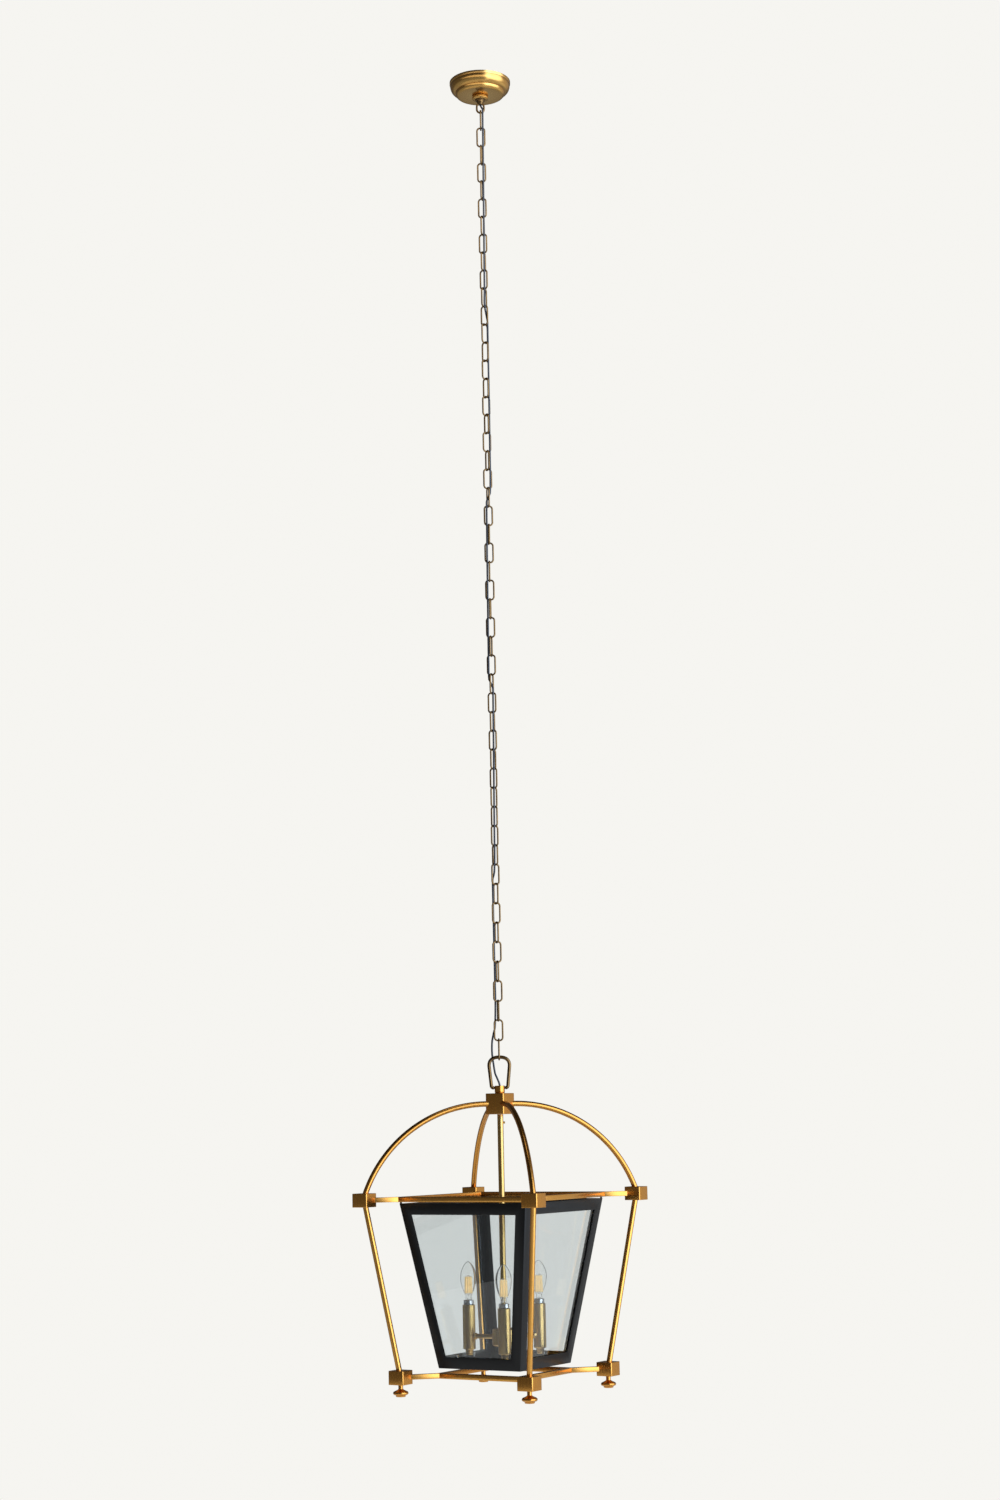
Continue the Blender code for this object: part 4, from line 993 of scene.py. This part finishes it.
def makeFrame():
    body = looseObject("frameBody", wallBlock(0.0, boxBottom, boxTop))
    leg = box["leg"]
    over = 20.0 * mm
    tools = [wallBlock(box["wall"] / math.cos(boxTilt), boxBottom + box["wall"], boxTop - box["wall"]),
             wallBlock(box["flange"], boxBottom - over, boxTop + over),
             wallBlock(leg, boxBottom + leg, boxTop - leg, box["topSide"]),
             wallBlock(leg, boxBottom + leg, boxTop - leg, box["topSide"])]
    bmesh.ops.rotate(tools[3], verts=tools[3].verts, matrix=Matrix.Rotation(halfTurn / 2, 3, "Z"))
    loose = []
    for bm in tools:
        tool = looseObject("frameTool", bm)
        loose.append(tool)
        cut = body.modifiers.new("cut", "BOOLEAN")
        cut.operation = "DIFFERENCE"
        cut.solver = "EXACT"
        cut.object = tool
    ease = body.modifiers.new("ease", "BEVEL")
    ease.width = box["edge"]
    ease.segments = 2
    ease.limit_method = "ANGLE"
    ease.angle_limit = math.radians(35)
    bpy.context.view_layer.update()
    shaped = bpy.data.meshes.new_from_object(body.evaluated_get(bpy.context.evaluated_depsgraph_get()))
    for thing in loose + [body]:
        bpy.data.objects.remove(thing, do_unlink=True)
    bm = newShape()
    bm.from_mesh(shaped)
    stud = box["topSide"] / 2 - box["stud"] - 0.2 * mm
    for sx, sy in cageCorners.values():
        rod(bm, (sx * stud, sy * stud, boxTop - box["wall"] / 2),
            (sx * stud, sy * stud, upperLevel - cage["bar"] / 2 - 0.3 * mm), box["stud"], sides=16,
            chamfer=0.2 * mm)
    keepPiece("BoxFrame", bm, blackSteel, "lantern", ["lantern_frame"], sharp=30)


def wallMatrix(turn):
    # one wall's own axes: X along it, Y up it, Z inwards, from the foot of its outer face
    up = Vector((0, -math.sin(boxTilt), math.cos(boxTilt)))
    inwards = Vector((0, math.cos(boxTilt), math.sin(boxTilt)))
    side = up.cross(inwards)
    base = Matrix(((side.x, up.x, inwards.x, 0), (side.y, up.y, inwards.y, -box["bottomSide"] / 2),
                   (side.z, up.z, inwards.z, boxBottom), (0, 0, 0, 1)))
    return Matrix.Rotation(turn, 4, "Z") @ base


def makePanes():
    low = boxBottom + box["leg"] - box["overlap"]
    high = boxTop - box["leg"] + box["overlap"]
    overhang = box["leg"] - box["overlap"]
    near = box["wall"] + 0.3 * mm
    clips = newShape()
    for quarter, name in enumerate(("front_left", "front_right", "back_right", "back_left")):
        matrix = wallMatrix(halfTurn / 2 * quarter)
        bm = bmesh.new()
        for vert in bmesh.ops.create_cube(bm, size=2.0)["verts"]:
            height = high if vert.co.y > 0 else low
            half = boxHalf(height) - overhang
            depth = near + (box["glass"] if vert.co.z > 0 else 0.0)
            vert.co = matrix @ Vector((vert.co.x * half, (height - boxBottom) / math.cos(boxTilt), depth))
        bmesh.ops.bevel(bm, geom=list(bm.edges), offset=0.35 * mm, segments=1, affect="EDGES")
        keepPiece("Pane_" + name, bm, paneGlass, "lantern", ["pane_" + name], sharp=30)

        edge = (low - boxBottom) / math.cos(boxTilt) - 0.3 * mm
        inside = near + box["glass"] + 0.3 * mm
        for sign in (-1, 1):
            x = sign * box["bottomSide"] * box["tabSpacing"] / 2
            leaf = Matrix.Translation((x, edge + 1.0 * mm, inside + box["tabThick"] / 2))
            roundedBox(clips, (box["tabWidth"], 10.0 * mm, box["tabThick"]), matrix @ leaf, 0.3 * mm)
            root = Matrix.Translation((x, edge - 2.0 * mm, (box["wall"] + inside) / 2))
            deep = inside - box["wall"] + 1.0 * mm
            roundedBox(clips, (box["tabWidth"], 3.8 * mm, deep), matrix @ root, 0.3 * mm)
    keepPiece("PaneClips", clips, nickel, "lantern")


makeFrame()
makePanes()
print("glass box")


# Stem, hub and candles.

candle = {"stem": 6.5 * mm, "hubRadius": 26.0 * mm, "hubHeight": 36.0 * mm, "arm": 5.0 * mm, "cuff": 7.0 * mm,
          "cuffLength": 5.0 * mm, "circle": 86.8 * mm, "sleeve": 13.5 * mm, "sleeveWall": 1.0 * mm,
          "cap": 8.5 * mm, "capHeight": 12.5 * mm, "floor": 2.5 * mm, "screwDrop": 18.0 * mm}
bulb = {"base": 6.9 * mm, "baseDepth": 20.0 * mm, "collar": 9.4 * mm, "collarRadius": 11.0 * mm,
        "radius": 17.5 * mm, "length": 83.0 * mm, "wall": 0.7 * mm, "stick": 1.5 * mm, "sticks": 8,
        "stickTop": 50.0 * mm, "stickFoot": 15.0 * mm, "stickRing": 7.6 * mm, "wire": 0.25 * mm}
hubLevel = middleOf("arm_1")
sleeveTop = topOf("sleeve_1")
sleeveBottom = bottomOf("sleeve_1") + candle["capHeight"]


def makeStemAndHub():
    top = topOf("stem")
    hubTop = hubLevel + candle["hubHeight"] / 2
    bm = newShape()
    profile = [(0, top), (candle["stem"], top), (candle["stem"], hubTop + 2.3 * mm),
               (candle["stem"] + 2.4 * mm, hubTop + 2.0 * mm), (candle["stem"] + 2.4 * mm, hubTop + 0.3 * mm),
               (0, hubTop + 0.3 * mm)]
    lathe(bm, softened(profile, 0.5 * mm), sides=40)
    keepPiece("Stem", bm, satinBrass, "lantern", ["stem"])

    screwLevel = bottomOf("top_block") - candle["screwDrop"]
    start = rightward * (candle["stem"] - 0.2 * mm) + Vector((0, 0, screwLevel))
    bm = newShape()
    rod(bm, start, start + rightward * 3.9 * mm, 2.4 * mm, sides=20)
    keepPiece("StemScrew", bm, satinBrass, "lantern", ["stem_screw"])

    half = candle["hubHeight"] / 2
    wide = candle["hubRadius"]
    profile = [(0, half), (wide - 2.5 * mm, half), (wide, half - 2.5 * mm), (wide, -half + 2.5 * mm),
               (wide - 2.5 * mm, -half), (wide * 0.35, -half), (wide * 0.35, -half - 4.6 * mm),
               (wide * 0.2, -half - 8 * mm), (0, -half - 8 * mm)]
    bm = newShape()
    lathe(bm, softened(profile, 0.8 * mm), Matrix.Translation((0, 0, hubLevel)), sides=64)
    keepPiece("Hub", bm, satinBrass, "lantern", ["hub"])


def sleeveShape():
    wide = candle["sleeve"]
    inner = wide - candle["sleeveWall"]
    floor = sleeveBottom + candle["floor"]
    cap = sleeveBottom - candle["capHeight"]
    small = candle["cap"]
    return [(0, floor), (inner, floor), (inner, sleeveTop), (wide, sleeveTop),
            (wide, sleeveBottom + 1.6 * mm), (wide - 1.2 * mm, sleeveBottom),
            (small + 1.4 * mm, sleeveBottom), (small, sleeveBottom - 1.4 * mm), (small, cap + 5.6 * mm),
            (small * 0.8, cap + 4.8 * mm), (small * 0.8, cap + 3.9 * mm),
            (small * 0.92, cap + 3.2 * mm), (small * 0.92, cap + 1.6 * mm), (small * 0.66, cap), (0, cap)]


def bulbRadius(share):
    swell = math.sin(halfTurn * share ** 0.80) ** 0.86
    neck = bulb["base"] * smooth((share - 0.62) / 0.38)
    return max(neck, (bulb["radius"] - 0.5 * mm * share) * swell)


def makeBulb(number, place):
    body = "bulb_" + number
    glassFoot = sleeveTop + bulb["collar"]
    outer = [(0, glassFoot + bulb["length"])]
    inner = [(0, glassFoot + bulb["length"] - bulb["wall"] * 1.6)]
    steps = 40
    for step in range(1, steps + 1):
        share = (step / steps) ** 1.15
        level = glassFoot + bulb["length"] * (1 - share)
        radius = bulbRadius(share)
        outer.append((radius, level))
        if radius > 2 * bulb["wall"]:
            inner.append((radius - bulb["wall"], level - bulb["wall"] * 0.6 * (1 - share)))
    bm = newShape()
    lathe(bm, outer + list(reversed(inner)), place, sides=48)
    keepPiece("BulbGlass_" + number, bm, bulbGlass, body, [body], sharp=60)

    base = sleeveTop - bulb["baseDepth"]
    wide = bulb["base"]
    collar = bulb["collarRadius"]
    profile = [(0, glassFoot + 0.6 * mm), (collar - 0.6 * mm, glassFoot + 0.6 * mm), (collar, glassFoot),
               (collar, sleeveTop + 1.4 * mm), (collar - 0.8 * mm, sleeveTop + 0.5 * mm),
               (wide, sleeveTop + 0.5 * mm)]
    for step in range(4):  # the cap's rolled thread
        level = sleeveTop - 1.0 * mm - step * 3.0 * mm
        profile += [(wide, level), (wide - 0.6 * mm, level - 1.5 * mm)]
    profile += [(wide - 0.4 * mm, base + 4.2 * mm), (wide * 0.5, base + 1.0 * mm), (wide * 0.42, base),
                (0, base)]
    bm = newShape()
    lathe(bm, softened(profile, 0.5 * mm), place, sides=40)
    keepPiece("BulbCap_" + number, bm, nickel, body)

    bm = newShape()
    post = [(0, glassFoot + 13.0 * mm), (1.6 * mm, glassFoot + 12.4 * mm), (1.3 * mm, glassFoot + 7.0 * mm),
            (4.4 * mm, glassFoot + 2.1 * mm), (0, glassFoot + 2.1 * mm)]
    lathe(bm, softened(post, 0.5 * mm), place, sides=24)
    keepPiece("BulbPost_" + number, bm, bulbGlass, body)

    sticks = newShape()
    wires = newShape()
    for index in range(bulb["sticks"]):
        angle = 2 * halfTurn * (index + 0.5) / bulb["sticks"]
        side = Vector((math.cos(angle), math.sin(angle), 0)) * bulb["stickRing"]
        foot = place @ (side + Vector((0, 0, glassFoot + bulb["stickFoot"])))
        top = place @ (side * 0.85 + Vector((0, 0, glassFoot + bulb["stickTop"])))
        rod(sticks, foot, top, bulb["stick"], sides=12, chamfer=0.3 * mm)
        hub = place @ Vector((0, 0, glassFoot + 11.0 * mm))
        peak = place @ Vector((0, 0, glassFoot + bulb["stickTop"] + 3.0 * mm))
        for start, end in ((hub, foot), (top, peak)):
            rod(wires, start, end, bulb["wire"], sides=8, chamfer=0.05 * mm)
    keepPiece("Filament_" + number, sticks, phosphor, body)
    keepPiece("FilamentWire_" + number, wires, nickel, body)


def makeCandles():
    for index in range(3):
        number = str(index + 1)
        turn = hangingTurn + 2 * halfTurn * index / 3 - halfTurn / 2
        outward = Vector((math.cos(turn), math.sin(turn), 0))
        seat = outward * candle["circle"]
        level = Vector((0, 0, hubLevel))
        bm = newShape()
        end = seat - outward * candle["sleeve"] * 0.9 + level
        cuffStart = seat - outward * (candle["sleeve"] + candle["cuffLength"]) + level
        rod(bm, outward * (candle["hubRadius"] - 0.5 * mm) + level, end, candle["arm"], sides=28)
        rod(bm, cuffStart, end, candle["cuff"], sides=32, chamfer=0.8 * mm)
        keepPiece("Arm_" + number, bm, satinBrass, "lantern", ["arm_" + number])

        place = Matrix.Translation(seat)
        bm = newShape()
        lathe(bm, softened(sleeveShape(), 0.5 * mm), place, sides=64)
        keepPiece("Sleeve_" + number, bm, satinBrass, "lantern", ["sleeve_" + number])
        frame["nodes"]["socket_" + number].material_slots[0].material = blackPlastic
        makeBulb(number, place)


makeStemAndHub()
makeCandles()
print("stem, hub and candles")
